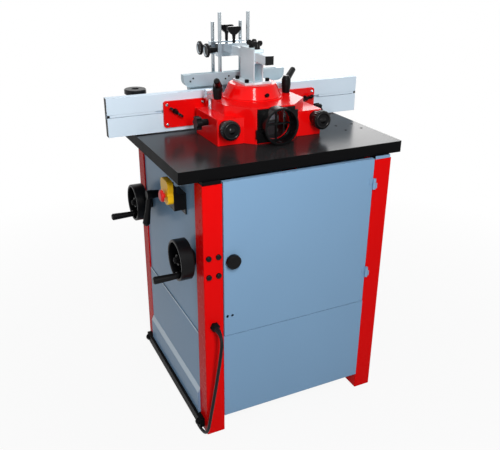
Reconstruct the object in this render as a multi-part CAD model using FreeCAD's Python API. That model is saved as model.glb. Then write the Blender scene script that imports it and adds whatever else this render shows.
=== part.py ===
import FreeCAD
import Part
import math
import os

# Spindle moulder on a sheet-steel cabinet. Millimetres, +Z up.
# While it is drawn, the origin is the middle of the cabinet on the floor: +X runs along
# the door side, +Y points away from the door towards the operator.

V = FreeCAD.Vector
X_AXIS = V(1, 0, 0)
Y_AXIS = V(0, 1, 0)
Z_AXIS = V(0, 0, 1)

# Clearances
RUNNING = 0.05          # shaft in a bush, on the radius
SLIDING = 0.3           # faces that pass each other

# Cabinet
CABINET_WIDTH = 623.0
CABINET_DEPTH = 599.0
POST_SIDE = 60.0
POST_WALL = 3.0
SHEET = 2.0
RETURN_DEPTH = 16.0
PANEL_FOOT = 56.0
DOOR_SEAM = 356.0
DOOR_GAP = 2.0
DOOR_HEAD = 6.0          # from the door's top to the table
CONTROL_SEAM = 349.0
CONTROL_FOOT = 46.0
CONTROL_INSET = 4.0
JOGGLE_TOP = 143.0
JOGGLE_FOOT = 125.0
JOGGLE_OUT = 8.0
SEAM_STEP = 3.0          # the lower sheet stands out of the upper one by this
BAR_HEIGHT = 30.0
BAR_THICKNESS = 16.0
BAR_FOOT = 15.0
BAR_NEAR = 24.0         # from the door-side face of the cabinet to the bar's end
BAR_FAR = 16.0
BAR_BOLT_RADIUS = 11.0
BAR_BOLT_HEIGHT = 9.0
POST_BOLT_RADIUS = 6.0
POST_BOLT_HEIGHT = 5.0
POST_BOLT_SPACING = (30.0, 60.0)
POST_BOLT_MIDDLE = 598.0

# Table
TABLE_OFFSET = -9.0     # table, spindle and fence sit a little left of the cabinet's middle
TABLE_WIDTH = 727.0
TABLE_NEAR = 288.0      # from the cabinet's middle to the edge over the door
TABLE_FAR = 316.0
TABLE_TOP = 890.0
TABLE_EDGE = 35.0
TABLE_PLATE = 14.0
TABLE_RIM = 22.0
TABLE_OPENING = 75.0
TABLE_BOSS = 102.0
RING_RADIUS = 86.0
RING_DEPTH = 9.0
RING_BORE = 46.0
FEEDER_HOLE = 5.0
FEEDER_SPACING = (62.0, 57.0)
FEEDER_MIDDLE = (294.0, -86.0)
GAUGE_SLOT_WIDTH = 19.0
GAUGE_SLOT_DEPTH = 9.5
GAUGE_SLOT_Y = 204.0
MOUNT_PAD = 54.0
PAD_HEIGHT = 10.0

# Spindle, quill and lift
SPINDLE_Y = 20.0
SPINDLE_RADIUS = 15.0
SPINDLE_RISE = 86.0      # over the table
SHOULDER_DROP = 24.0     # under the table's top, as all the drops below
SHOULDER_RADIUS = 24.0
SHOULDER_HEIGHT = 8.0
THREAD_RADIUS = 10.0
THREAD_LENGTH = 22.0
NUT_HEIGHT = 14.0
RING_OUTER = 24.0
RING_HEIGHTS = (10.0, 20.0)
TAIL_RADIUS = 11.0
SPLINE_COUNT = 6
SPLINE_WIDTH = 5.0
SPLINE_HEIGHT = 3.0
TAIL_LENGTH = 168.0      # of the splined tail below the quill
QUILL_RADIUS = 40.0
QUILL_DROP = 40.0
QUILL_LENGTH = 320.0
QUILL_BORE = 20.0
BEARING_RADIUS = 28.0
BEARING_HEIGHT = 16.0
QUILL_DOWN = 30.0
QUILL_UP = 50.0
HOUSING_RADIUS = 55.0
HOUSING_DROP = 208.0
HOUSING_FLANGE = 98.0
FLANGE_THICKNESS = 14.0
CLAMP_EAR_WIDTH = 50.0
CLAMP_EAR_REACH = 88.0   # from the spindle axis to the outer end of the clamp ears
CLAMP_EAR_HEIGHT = 36.0
CLAMP_SLIT = 4.0
LIFT_ARM_HEIGHT = 17.0
LIFT_ARM_WIDTH = 40.0
LIFT_SCREW_RADIUS = 9.0
LIFT_PITCH = 5.0
LIFT_TAIL = 22.0         # of the screw, under the lift arm's lowest place
LIFT_PLATE = 10.0
LIFT_CLEARANCE = 3.35    # between the lift arm at its highest and the gear
GEAR_TEETH = 16
GEAR_MODULE = 3.0
GEAR_FACE = 9.0
TOOTH_SHARE = 0.40       # tooth thickness over the pitch, which leaves backlash

# Height wheel, belt-tension wheel and lock lever on the control side
WHEEL_RADIUS = 62.0
WHEEL_RIM_WIDTH = 40.0
WHEEL_RIM = 8.0
WHEEL_HUB = 16.0
WHEEL_SPOKES = 3
SPOKE_WIDTH = 14.0
SPOKE_DEPTH = 8.0
SHAFT_RADIUS = 9.0
BUSH_RADIUS = 20.0
BUSH_LENGTH = 12.0
BEARING_FLANGE = 26.0    # black flanges behind the wheels
BEARING_PROUD = 7.0      # how far they stand out of the sheet
BEARING_GAP = 1.0        # round the wheel's hub
GRIP_RADIUS = 11.5
GRIP_LENGTH = 72.0
GRIP_PIN = 4.0
GRIP_CIRCLE = 46.0       # distance of the grip from the wheel's axis
HEIGHT_WHEEL_Y = 195.0
HEIGHT_WHEEL_REACH = 61.0   # cabinet side to the wheel's open face
HEIGHT_GRIP_ANGLE = 13.0
TENSION_WHEEL_Y = -204.0
TENSION_WHEEL_DROP = 297.0
TENSION_WHEEL_REACH = 53.0
TENSION_GRIP_ANGLE = -18.0
TENSION_SCREW_RADIUS = 7.0
TENSION_PITCH = 2.0
LOCK_Y = 88.0
LOCK_DROP = 198.0
LOCK_SHAFT = 6.0
LOCK_HUB = 15.0
LOCK_HUB_LENGTH = 41.0
LOCK_ARM_LENGTH = 107.0
LOCK_ARM_TILT = 10.0

# Drive
RAIL_SIDE = 30.0
RAIL_CLEARANCE = 60.0    # under the quill's lowest place
RAIL_NEAR_Y = -175.0
RAIL_FAR_Y = 105.0
BRACKET_THICKNESS = 10.0
BRACKET_LEFT = 61.0      # bracket plate, from the spindle axis
BRACKET_RIGHT = 61.0
SLEEVE_RADIUS = 22.0
SLEEVE_RISE = 57.0       # over the rails
BOSS_RADIUS = 34.0
COLLAR_HEIGHT = 5.0
COLLAR_RADIUS = 28.0
PULLEY_STEP = 26.0
PULLEY_RIM = 2.0
PULLEY_GAP = 10.0        # under the rails
SPINDLE_STEPS = (36.0, 28.0)
MOTOR_STEPS = (44.0, 52.0)
BELT_WIDTH = 20.0
BELT_THICKNESS = 4.0
MOTOR_X = 175.0
MOTOR_Y = -70.0
MOTOR_RADIUS = 70.0
MOTOR_HEIGHT = 225.0
MOTOR_FINS = 18
FIN_DEPTH = 6.0
FIN_WIDTH = 5.0
MOTOR_SHAFT = 12.0
MOTOR_SLACK = 20.0       # how far the motor moves in to slacken the belt
PLATE_HALF = 80.0
PLATE_NEAR_Y = -216.0
LUG_THICKNESS = 24.0
LUG_WIDTH = 24.0

# Cutter hood
HOOD_HALF = 136.0
HOOD_FLAT = 63.0         # half width of the flat that carries the dust port
HOOD_FRONT = -143.0
HOOD_CHAMFER_Y = -70.0
HOOD_BACK = 80.0
HOOD_RISE = 110.0        # over the table, as all the rises below
HOOD_WALL = 5.0
EAR_OUT = 177.0
EAR_FRONT = -115.0
EAR_BACK = 58.0
EAR_RISE = 79.0
DOME_RADIUS = 91.0
DOME_TOP_RADIUS = 75.0
DOME_HEIGHT = 42.0
DOME_COLLAR = 98.0
COLLAR_STEP = 4.0
DOME_ROUND = 4.0         # softened rim of the dome
DOME_SCREW = 5.5
DOME_SCREW_ANGLE = -86.0
PORT_BORE = 50.0
PORT_WALL = 4.0
PORT_BEAD = 6.0
PORT_LENGTH = 36.0
PORT_RISE = 58.0
PORT_FLANGE = 6.0
PORT_FLANGE_HALF = 62.0
PORT_LUG = 14.0
PORT_SPOKE = 5.0
PORT_LEDGE = 3.0         # stop for the hose at the end of the bore
CLAMP_OFFSET = 120.0     # clamp levers, from the spindle axis
CLAMP_Y = 16.0
CLAMP_STUD = 5.0
CLAMP_HUB = 15.0
CLAMP_HUB_HEIGHT = 54.0
CLAMP_ARM = 66.0
CLAMP_ARM_TILT = 65.0    # from upright
LEFT_ARM_HEADING = -115.0   # the left lever points towards the door
RIGHT_ARM_HEADING = 39.0
CLAMP_NUT = 26.0
CLAMP_NUT_HEIGHT = 8.0
HOOD_TRAVEL = 20.0
PIN_X = -151.0
PIN_Y = 25.0
PIN_RADIUS = 5.5
PIN_RISE = 111.0
PIN_HEAD = (20.0, 20.0, 28.0)
PIN_HEAD_SLIT = 3.0

# Fence
FENCE_LENGTH = 390.0
FENCE_GAP = 58.0         # half of the gap between the two plates
FENCE_HEIGHT = 120.0
FENCE_CLEAR = 3.0        # from the table to the plates
FENCE_BACK = 95.3
FENCE_THICKNESS = 25.0
FENCE_SLOT_RISE = 67.0
FENCE_SLOT = 9.0
FENCE_SLOT_DEPTH = 14.0
FENCE_SLOT_WIDE = 18.0
FENCE_SLOT_LIP = 5.0
FENCE_BEVEL = 12.0
FENCE_IN = 40.0
FENCE_OUT = 80.0
CARRIER_IN = 131.0
CARRIER_OUT = 272.0
CARRIER_FOOT_RISE = 16.0
CARRIER_TOP_RISE = 100.0
CARRIER_THICKNESS = 7.0
CARRIER_CORNER = 9.0
CARRIER_SCREW_INSET = 11.0
CARRIER_BACK_TRAVEL = 5.0
CARRIER_OUT_TRAVEL = 15.0
GUIDE_OFFSET = 153.0
GUIDE_WIDTH = 24.0
GUIDE_HEIGHT = 30.0
GUIDE_RISE = 56.0
GUIDE_FRONT = -55.0
FINE_RADIUS = 28.0
FINE_BARREL = 20.0
FINE_LENGTH = 50.0
FINE_FACE = 20.0
FINE_SCREW = 6.0
FINE_SCREW_END = 20.0
FINE_PITCH = 2.0
STAR_Y = -40.0
STAR_RISE = 57.0
STAR_RADIUS = 21.0
STAR_HEIGHT = 16.0
STAR_NECK = 24.0
STAR_STUD = 4.0
STAR_LOBES = 6
WING_OFFSET = 235.0
WING_HUB = 9.0
WING_HUB_HEIGHT = 16.0
WING_SPAN = 52.0
WING_LOBE = 8.0          # radius of the rounded wing ends
WING_THICKNESS = 7.0
WING_STUD = 4.0
LEFT_WING_TURN = -38.0
RIGHT_WING_TURN = 160.0

# Pressure device
COLUMN_WIDTH = 33.0
COLUMN_DEPTH = 96.0
COLUMN_RISE = 257.0
COLUMN_Y = 24.0
COLUMN_PLATE = 92.0
COLUMN_PLATE_THICKNESS = 7.0
COLUMN_BOLT_SPACING = 70.0
COLUMN_BOLT = 6.5
COLUMN_BOLT_HEIGHT = 9.0
COLUMN_WEB = 4.0
ARM_SIDE = 26.0
ARM_RISE = 222.0
ARM_NEAR = -93.0
ARM_FAR = 240.0
ARM_WALL = 2.5
ARM_CAP = 4.0
ARM_TRAVEL = 60.0
ARM_SCREW_Y = (26.0, -14.0)
ARM_SCREW_TURN = 20.0
ARM_SCREW_SPAN = 38.0
SADDLE = 6.0
ROD_SPACING = 100.0
ROD_RADIUS = 6.0
NEAR_HEAD_Y = 158.0
FAR_HEAD_Y = 217.0
HEAD_LENGTH = 122.0
HEAD_DEPTH = 24.0
HEAD_HEIGHT = 40.0
NEAR_ROD_RISE = 351.0
FAR_ROD_RISE = 317.0
TOP_SHOE_LENGTH = 364.0
SIDE_SHOE_LENGTH = 282.0
SHOE_HEIGHT = 40.0
SHOE_DEPTH = 24.0
SHOE_WALL = 4.0
SHOE_NOSE = 26.0
NEAR_SHOE_RISE = 124.0
FAR_SHOE_RISE = 82.0
NEAR_SHOE_DOWN = 90.0
FAR_SHOE_DOWN = 50.0
SHOE_UP = 20.0
TEE_STEM = 4.0
TEE_HEIGHT = 50.0
TEE_BAR = 7.0
TEE_SPAN = 46.0
DISC_RADIUS = 22.0
DISC_THICKNESS = 9.0
DISC_NECK = 30.0
DISC_DISH = 3.0          # depth of the hollow in the disc's face

# Door
LATCH_INSET = 25.8       # from the door's edge
LATCH_RISE = 252.0       # from the door's foot
LATCH_RADIUS = 22.0
LATCH_HEIGHT = 20.0
LATCH_SHAFT = 6.0
CAM_LENGTH = 25.0
CAM_WIDTH = 16.0
CAM_THICKNESS = 3.0
CAM_SETBACK = 24.0       # behind the door's outer face
KEEPER_WIDTH = 14.0
HINGE_RADIUS = 5.0
HINGE_PIN = 3.0
HINGE_HEIGHT = 34.0
HINGE_INSETS = (93.0, 96.0)   # lower hinge from the door's foot, upper one from its top
HINGE_LEAF = 14.0
VENT_RADIUS = 4.2
VENT_INSETS = (10.5, 26.5)
VENT_RISE = 67.0

# Switch
SWITCH_Y = -133.0
SWITCH_DROP = 160.0
SWITCH_HEIGHT = 74.0     # of the face plate that carries the lid
SWITCH_BODY = 50.0       # height of the deep part of the box
SWITCH_FACE = 8.0        # thickness of the face plate
SWITCH_WIDTH = 64.0
SWITCH_DEPTH = 34.0
SWITCH_PLATE = 16.0      # how far the back plate reaches below the box
LID_FOOT_RISE = 18.0     # over the foot of the box
LID_HEIGHT = 73.0
LID_DEPTH = 17.0
LID_WALL = 3.0
LID_CORNER = 16.0
LID_NOTCH = 11.0
LID_HINGE = 3.0
STOP_RADIUS = 18.0
STOP_HEAD = 10.0
STOP_STEM = 7.0
STOP_COLLAR = 2.0
STOP_RISE = 41.0
STOP_TRAVEL = 4.0

# Mitre gauge on the operator's side of the table
GAUGE_X = -335.0
GAUGE_BAR = 190.0
GAUGE_HEAD = 40.0
GAUGE_PLATE = 10.0
GAUGE_POST = 9.0
GAUGE_DISC_RISE = 107.0
GAUGE_DISC = 35.0
GAUGE_DISC_HEIGHT = 16.0
GAUGE_DISC_HOLE = 12.0
GAUGE_TRAVEL = 30.0

# Mains cord
CORD_RADIUS = 5.0
GLAND_NUT = 15.0
GLAND_NUT_LENGTH = 9.0
GLAND_LENGTH = 17.0
CORD_ROUTE = (           # from the cabinet's left corner on the door side
    (29.9, -17.0, 400.0),
    (29.9, -36.5, 400.0),
    (28.7, -53.5, 390.5),
    (26.1, -63.0, 373.0),
    (23.0, -63.0, 345.0),
    (19.5, -57.5, 300.0),
    (13.0, -50.5, 235.0),
    (5.5, -42.5, 165.0),
    (-1.5, -33.5, 98.0),
    (-6.0, -26.5, 52.0),
    (-8.0, -18.5, 30.0),
    (-10.0, -2.5, 13.5),
    (-11.5, 23.5, 6.5),
    (-12.5, 53.5, 5.6),
    (-5.5, 83.5, 5.5),
    (14.5, 109.5, 5.5),
    (47.5, 127.5, 5.5),
    (85.5, 136.5, 5.5),
    (121.5, 139.5, 5.5),
)
COIL_RADIUS = 64.0       # outermost turn, at the middle of the cord
COIL_STEP = 12.5         # from turn to turn
COIL_LAYER = 11.0        # from layer to layer
COIL_TURNS = 1.5         # in each layer
PLUG_RADIUS = 16.0
PLUG_LENGTH = 46.0
PLUG_TAIL = 22.0
PLUG_PIN = 2.4
PLUG_PIN_LENGTH = 19.0
PLUG_PIN_SPACING = 19.0

# Sizes that follow from the ones above
LEFT = -CABINET_WIDTH / 2
RIGHT = CABINET_WIDTH / 2
NEAR = -CABINET_DEPTH / 2
FAR = CABINET_DEPTH / 2
TABLE_FOOT = TABLE_TOP - TABLE_EDGE
PLATE_FOOT = TABLE_TOP - TABLE_PLATE
SPINDLE_X = TABLE_OFFSET
POST_HEIGHT = TABLE_FOOT - PAD_HEIGHT
DOOR_TOP = TABLE_FOOT - DOOR_HEAD
DOOR_LEFT = LEFT + POST_SIDE + DOOR_GAP
DOOR_RIGHT = RIGHT - POST_SIDE - DOOR_GAP
CONTROL_FACE = LEFT + CONTROL_INSET
SPINDLE_TOP = TABLE_TOP + SPINDLE_RISE
SPINDLE_SHOULDER = TABLE_TOP - SHOULDER_DROP
QUILL_TOP = TABLE_TOP - QUILL_DROP
QUILL_FOOT = QUILL_TOP - QUILL_LENGTH
HOUSING_FOOT = TABLE_TOP - HOUSING_DROP
TAIL_FOOT = QUILL_FOOT - TAIL_LENGTH
LIFT_SCREW_FOOT = QUILL_FOOT - QUILL_DOWN - LIFT_TAIL
GEAR_RADIUS = GEAR_MODULE * GEAR_TEETH / 2
GEAR_BACK = GEAR_RADIUS + 1.25 * GEAR_MODULE * math.sqrt(0.5) + GEAR_MODULE
HEIGHT_WHEEL_Z = QUILL_FOOT + LIFT_ARM_HEIGHT + QUILL_UP + LIFT_CLEARANCE + GEAR_BACK
TENSION_WHEEL_Z = TABLE_TOP - TENSION_WHEEL_DROP
LOCK_Z = TABLE_TOP - LOCK_DROP
RAIL_TOP = QUILL_FOOT - QUILL_DOWN - RAIL_CLEARANCE
SLEEVE_TOP = RAIL_TOP + SLEEVE_RISE
PULLEY_TOP = RAIL_TOP - PULLEY_GAP
HOOD_TOP = TABLE_TOP + HOOD_RISE
EAR_TOP = TABLE_TOP + EAR_RISE
PORT_Z = TABLE_TOP + PORT_RISE
PIN_TOP = TABLE_TOP + PIN_RISE
FENCE_FOOT = TABLE_TOP + FENCE_CLEAR
FENCE_SLOT_Z = TABLE_TOP + FENCE_SLOT_RISE
CARRIER_FOOT = TABLE_TOP + CARRIER_FOOT_RISE
CARRIER_TOP = TABLE_TOP + CARRIER_TOP_RISE
GUIDE_Z = TABLE_TOP + GUIDE_RISE
STAR_Z = TABLE_TOP + STAR_RISE
COLUMN_TOP = TABLE_TOP + COLUMN_RISE
ARM_FOOT = TABLE_TOP + ARM_RISE
NEAR_ROD_TOP = TABLE_TOP + NEAR_ROD_RISE
FAR_ROD_TOP = TABLE_TOP + FAR_ROD_RISE
NEAR_SHOE_FOOT = TABLE_TOP + NEAR_SHOE_RISE
FAR_SHOE_FOOT = TABLE_TOP + FAR_SHOE_RISE
GAUGE_DISC_Z = TABLE_TOP + GAUGE_DISC_RISE
LATCH_X = DOOR_LEFT + LATCH_INSET
LATCH_Z = DOOR_SEAM + LATCH_RISE
HINGE_HEIGHTS = (DOOR_SEAM + HINGE_INSETS[0], DOOR_TOP - HINGE_INSETS[1])
SWITCH_FOOT = TABLE_TOP - SWITCH_DROP
SWITCH_TOP = SWITCH_FOOT + SWITCH_HEIGHT
LID_FOOT = SWITCH_FOOT + LID_FOOT_RISE
LID_TOP = LID_FOOT + LID_HEIGHT
STOP_Z = SWITCH_FOOT + STOP_RISE
BELT_Z = PULLEY_TOP - PULLEY_STEP / 2
ARM_MIDDLE = ARM_FOOT + ARM_SIDE / 2
HOOD_FOOT = TABLE_TOP + SLIDING
HEAD_FOOT = ARM_MIDDLE - HEAD_HEIGHT / 2
LID_BACK = LEFT - SWITCH_DEPTH - SLIDING
LID_HINGE_X = LID_BACK - LID_HINGE
LID_HINGE_Z = SWITCH_TOP + 2.5 * LID_HINGE
HINGE_X = RIGHT - POST_SIDE
HINGE_Y = NEAR - HINGE_RADIUS - SLIDING


def box(x0, x1, y0, y1, z0, z1):
    return Part.makeBox(x1 - x0, y1 - y0, z1 - z0, V(x0, y0, z0))


def rod(start, axis, radius, length):
    return Part.makeCylinder(radius, length, start, axis)


def fuse(*shapes):
    return shapes[0].fuse(list(shapes[1:])).removeSplitter()


def prism(points, along):
    """Straight solid on a flat outline of 3-D points."""
    return Part.Face(Part.makePolygon(points + [points[0]])).extrude(along)


def flat(outline, z0, z1):
    """Straight upright solid on an outline of (x, y) points."""
    return prism([V(x, y, z0) for x, y in outline], V(0, 0, z1 - z0))


def point_along(shape, place, axis):
    """Put a shape drawn on +Z at a place, pointing along an axis."""
    moved = shape.copy()
    moved.Placement = FreeCAD.Placement(place, FreeCAD.Rotation(Z_AXIS, axis)).multiply(shape.Placement)
    return moved


def turned(profile, place, axis):
    """Round solid from an outline of (radius, height) points about an axis."""
    face = Part.Face(Part.makePolygon([V(r, 0, h) for r, h in profile + [profile[0]]]))
    return point_along(face.revolve(V(0, 0, 0), Z_AXIS, 360), place, axis)


def ring(outer, inner, z0, z1):
    return [(inner, z0), (outer, z0), (outer, z1), (inner, z1)]


def mirrored(shape):
    """The same piece on the other side of the spindle axis."""
    return shape.mirror(V(SPINDLE_X, 0, 0), X_AXIS)


def soften(shape, radius, wanted):
    """Round the edges for which wanted(edge) is true."""
    edges = [edge for edge in shape.Edges if wanted(edge)]
    return shape.makeFillet(radius, edges)


def is_upright(edge):
    start, end = edge.firstVertex().Point, edge.lastVertex().Point
    return abs(start.x - end.x) + abs(start.y - end.y) < 0.01 < abs(start.z - end.z)


# Cabinet


def corner_posts():
    posts = []
    for x in (LEFT, RIGHT - POST_SIDE):
        for y in (NEAR, FAR - POST_SIDE):
            outer = box(x, x + POST_SIDE, y, y + POST_SIDE, 0, POST_HEIGHT)
            outer = soften(outer, POST_WALL, is_upright)
            hollow = box(x + POST_WALL, x + POST_SIDE - POST_WALL,
                         y + POST_WALL, y + POST_SIDE - POST_WALL, 0, POST_HEIGHT - POST_WALL)
            post = outer.cut(hollow)
            if x == LEFT and y == NEAR:
                keeper_y = NEAR + CAM_SETBACK - CAM_THICKNESS - SLIDING
                keeper = box(LEFT + POST_SIDE, LEFT + POST_SIDE + KEEPER_WIDTH,
                             keeper_y, keeper_y + CAM_THICKNESS,
                             LATCH_Z - CAM_WIDTH, LATCH_Z + CAM_WIDTH)
                post = fuse(post, keeper)
            posts.append(post)
    return posts


def pan(x0, x1, z0, z1, face_y, inward):
    """Sheet panel facing -Y or +Y with its edges folded inwards."""
    inner_y = face_y + inward * RETURN_DEPTH
    low, high = min(face_y, inner_y), max(face_y, inner_y)
    block = box(x0, x1, low, high, z0, z1)
    low_hollow = face_y + SHEET if inward > 0 else low
    high_hollow = high if inward > 0 else face_y - SHEET
    return block.cut(box(x0 + SHEET, x1 - SHEET, low_hollow, high_hollow, z0 + SHEET, z1 - SHEET))


def side_pan(y0, y1, z0, z1, face_x, inward):
    """Sheet panel facing -X or +X with its edges folded inwards."""
    turned_pan = pan(y0, y1, z0, z1, 0, 1)
    turned_pan.rotate(V(0, 0, 0), Z_AXIS, 90)
    if inward > 0:
        turned_pan = turned_pan.mirror(V(0, 0, 0), X_AXIS)
    turned_pan.translate(V(face_x, 0, 0))
    return turned_pan


def control_panel_upper():
    panel = side_pan(NEAR + POST_SIDE, FAR - POST_SIDE, CONTROL_SEAM, DOOR_TOP, CONTROL_FACE, 1)
    inner = CONTROL_FACE + SHEET
    places = ((HEIGHT_WHEEL_Y, HEIGHT_WHEEL_Z, SHAFT_RADIUS),
              (TENSION_WHEEL_Y, TENSION_WHEEL_Z, SHAFT_RADIUS),
              (LOCK_Y, LOCK_Z, LOCK_SHAFT))
    for y, z, radius in places:
        panel = fuse(panel, rod(V(inner, y, z), X_AXIS, BUSH_RADIUS, BUSH_LENGTH))
        panel = panel.cut(rod(V(CONTROL_FACE - SHEET, y, z), X_AXIS,
                              radius + RUNNING, BUSH_LENGTH + 3 * SHEET))
    return panel


def control_panel_lower():
    face = CONTROL_FACE - SEAM_STEP
    outer = face - JOGGLE_OUT
    outline = [(face, CONTROL_SEAM), (face, JOGGLE_TOP), (outer, JOGGLE_FOOT),
               (outer, CONTROL_FOOT)]
    back = [(x + SHEET, z) for x, z in reversed(outline)]
    length = CABINET_DEPTH - 2 * POST_SIDE
    points = [V(x, NEAR + POST_SIDE, z) for x, z in outline + back]
    return prism(points, V(0, length, 0))


def cabinet_panels():
    """Panel under the door, the two plain sides and the sheet floor."""
    under_door = pan(LEFT + POST_SIDE, RIGHT - POST_SIDE, PANEL_FOOT, DOOR_SEAM - DOOR_GAP, NEAR, 1)
    operator = pan(LEFT + POST_SIDE, RIGHT - POST_SIDE, PANEL_FOOT, DOOR_TOP, FAR, -1)
    side = side_pan(NEAR + POST_SIDE, FAR - POST_SIDE, PANEL_FOOT, DOOR_TOP, RIGHT, -1)
    reach = RETURN_DEPTH
    across = box(LEFT + POST_SIDE, RIGHT - POST_SIDE, NEAR + reach, FAR - reach,
                 PANEL_FOOT, PANEL_FOOT + SHEET)
    along = box(CONTROL_FACE - JOGGLE_OUT + SHEET, RIGHT - reach, NEAR + POST_SIDE, FAR - POST_SIDE,
                PANEL_FOOT, PANEL_FOOT + SHEET)
    return [under_door, operator, side, fuse(across, along)]


def base_bar():
    bar = box(LEFT - BAR_THICKNESS, LEFT, NEAR + BAR_NEAR, FAR - BAR_FAR,
              BAR_FOOT, BAR_FOOT + BAR_HEIGHT)
    ends = (NEAR + BAR_NEAR + BAR_HEIGHT / 2, FAR - BAR_FAR - BAR_HEIGHT / 2)
    bolts = [turned([(0, 0), (BAR_BOLT_RADIUS, 0), (BAR_BOLT_RADIUS, BAR_BOLT_HEIGHT / 2),
                     (BAR_BOLT_RADIUS / 2, BAR_BOLT_HEIGHT), (0, BAR_BOLT_HEIGHT)],
                    V(LEFT - BAR_THICKNESS, y, BAR_FOOT + BAR_HEIGHT / 2), -X_AXIS) for y in ends]
    return [bar] + bolts


def wheel_flanges():
    """Flanges on the control side, round the hubs of the two wheels."""
    profile = [(WHEEL_HUB + BEARING_GAP, 0), (BEARING_FLANGE, 0), (BEARING_FLANGE, BEARING_PROUD / 2),
               (WHEEL_HUB * 1.5, BEARING_PROUD), (WHEEL_HUB + BEARING_GAP, BEARING_PROUD)]
    return [turned(profile, V(CONTROL_FACE, y, z), -X_AXIS)
            for y, z in ((HEIGHT_WHEEL_Y, HEIGHT_WHEEL_Z), (TENSION_WHEEL_Y, TENSION_WHEEL_Z))]


def frame_fittings():
    """Base bar, wheel flanges, fixed hinge halves, cable gland, table pads and the near post's bolts."""
    pieces = base_bar() + wheel_flanges() + door_hinges() + [cable_gland()]
    for x in (LEFT + POST_SIDE / 2, RIGHT - POST_SIDE / 2):
        for y in (NEAR + POST_SIDE / 2, FAR - POST_SIDE / 2):
            half = MOUNT_PAD / 2
            pieces.append(box(x - half, x + half, y - half, y + half, POST_HEIGHT, TABLE_FOOT))
    across, up = POST_BOLT_SPACING
    for x in (-across / 2, across / 2):
        for z in (-up / 2, up / 2):
            place = V(LEFT + POST_SIDE / 2 + x, NEAR, POST_BOLT_MIDDLE + z)
            pieces.append(turned([(0, 0), (POST_BOLT_RADIUS, 0),
                                  (POST_BOLT_RADIUS * 0.7, POST_BOLT_HEIGHT), (0, POST_BOLT_HEIGHT)],
                                 place, -Y_AXIS))
    return pieces


# Table


def clamp_places():
    return [V(SPINDLE_X - CLAMP_OFFSET, CLAMP_Y, 0), V(SPINDLE_X + CLAMP_OFFSET, CLAMP_Y, 0)]


def table():
    x0, x1 = TABLE_OFFSET - TABLE_WIDTH / 2, TABLE_OFFSET + TABLE_WIDTH / 2
    y0, y1 = -TABLE_NEAR, TABLE_FAR
    slab = soften(box(x0, x1, y0, y1, TABLE_FOOT, TABLE_TOP), POST_WALL, is_upright)
    hollow = box(x0 + TABLE_RIM, x1 - TABLE_RIM, y0 + TABLE_RIM, y1 - TABLE_RIM,
                 TABLE_FOOT, PLATE_FOOT)
    hollow = hollow.cut(rod(V(SPINDLE_X, SPINDLE_Y, TABLE_FOOT), Z_AXIS, TABLE_BOSS, TABLE_EDGE))
    for x in (LEFT + POST_SIDE / 2, RIGHT - POST_SIDE / 2):
        for y in (NEAR + POST_SIDE / 2, FAR - POST_SIDE / 2):
            half = POST_SIDE / 2
            hollow = hollow.cut(box(x - half, x + half, y - half, y + half, TABLE_FOOT, PLATE_FOOT))
    slab = slab.cut(hollow)
    axis = V(SPINDLE_X, SPINDLE_Y, TABLE_FOOT)
    slab = slab.cut(rod(axis, Z_AXIS, TABLE_OPENING, TABLE_EDGE))
    slab = slab.cut(rod(axis + V(0, 0, TABLE_EDGE - RING_DEPTH), Z_AXIS, RING_RADIUS, RING_DEPTH))
    across, deep = FEEDER_SPACING
    for x in (-across / 2, across / 2):
        for y in (-deep / 2, deep / 2):
            place = V(FEEDER_MIDDLE[0] + x, FEEDER_MIDDLE[1] + y, TABLE_FOOT)
            slab = slab.cut(rod(place, Z_AXIS, FEEDER_HOLE, TABLE_EDGE))
    half = CLAMP_STUD + SLIDING
    for place in clamp_places():
        slot = fuse(box(place.x - half, place.x + half, place.y - HOOD_TRAVEL, place.y + HOOD_TRAVEL,
                        TABLE_FOOT, TABLE_TOP),
                    rod(V(place.x, place.y - HOOD_TRAVEL, TABLE_FOOT), Z_AXIS, half, TABLE_EDGE),
                    rod(V(place.x, place.y + HOOD_TRAVEL, TABLE_FOOT), Z_AXIS, half, TABLE_EDGE))
        slab = slab.cut(slot)
    half = GAUGE_SLOT_WIDTH / 2
    return slab.cut(box(x0, x1, GAUGE_SLOT_Y - half, GAUGE_SLOT_Y + half,
                        TABLE_TOP - GAUGE_SLOT_DEPTH, TABLE_TOP))


def table_ring():
    return turned(ring(RING_RADIUS - SLIDING, RING_BORE, TABLE_TOP - RING_DEPTH, TABLE_TOP),
                  V(SPINDLE_X, SPINDLE_Y, 0), Z_AXIS)


# Spindle, quill and lift


def on_spindle(profile):
    return turned(profile, V(SPINDLE_X, SPINDLE_Y, 0), Z_AXIS)


def splined(radius, grow, z0, z1):
    """Round bar with straight splines, grown by a clearance for the matching bore."""
    bar = rod(V(SPINDLE_X, SPINDLE_Y, z0), Z_AXIS, radius + grow, z1 - z0)
    half = SPLINE_WIDTH / 2 + grow
    for index in range(SPLINE_COUNT):
        rib = box(0, radius + SPLINE_HEIGHT + grow, -half, half, z0, z1)
        rib.rotate(V(0, 0, 0), Z_AXIS, index * 360 / SPLINE_COUNT)
        rib.translate(V(SPINDLE_X, SPINDLE_Y, 0))
        bar = bar.fuse(rib)
    return bar.removeSplitter()


def spindle():
    thread_foot = SPINDLE_TOP - THREAD_LENGTH
    shoulder_top = SPINDLE_SHOULDER + SHOULDER_HEIGHT
    shaft = on_spindle([(0, QUILL_FOOT), (SPINDLE_RADIUS, QUILL_FOOT),
                        (SPINDLE_RADIUS, SPINDLE_SHOULDER), (SHOULDER_RADIUS, SPINDLE_SHOULDER),
                        (SHOULDER_RADIUS, shoulder_top), (SPINDLE_RADIUS, shoulder_top),
                        (SPINDLE_RADIUS, thread_foot), (THREAD_RADIUS, thread_foot),
                        (THREAD_RADIUS, SPINDLE_TOP), (0, SPINDLE_TOP)])
    return fuse(shaft, splined(TAIL_RADIUS, 0, TAIL_FOOT, QUILL_FOOT))


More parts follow.
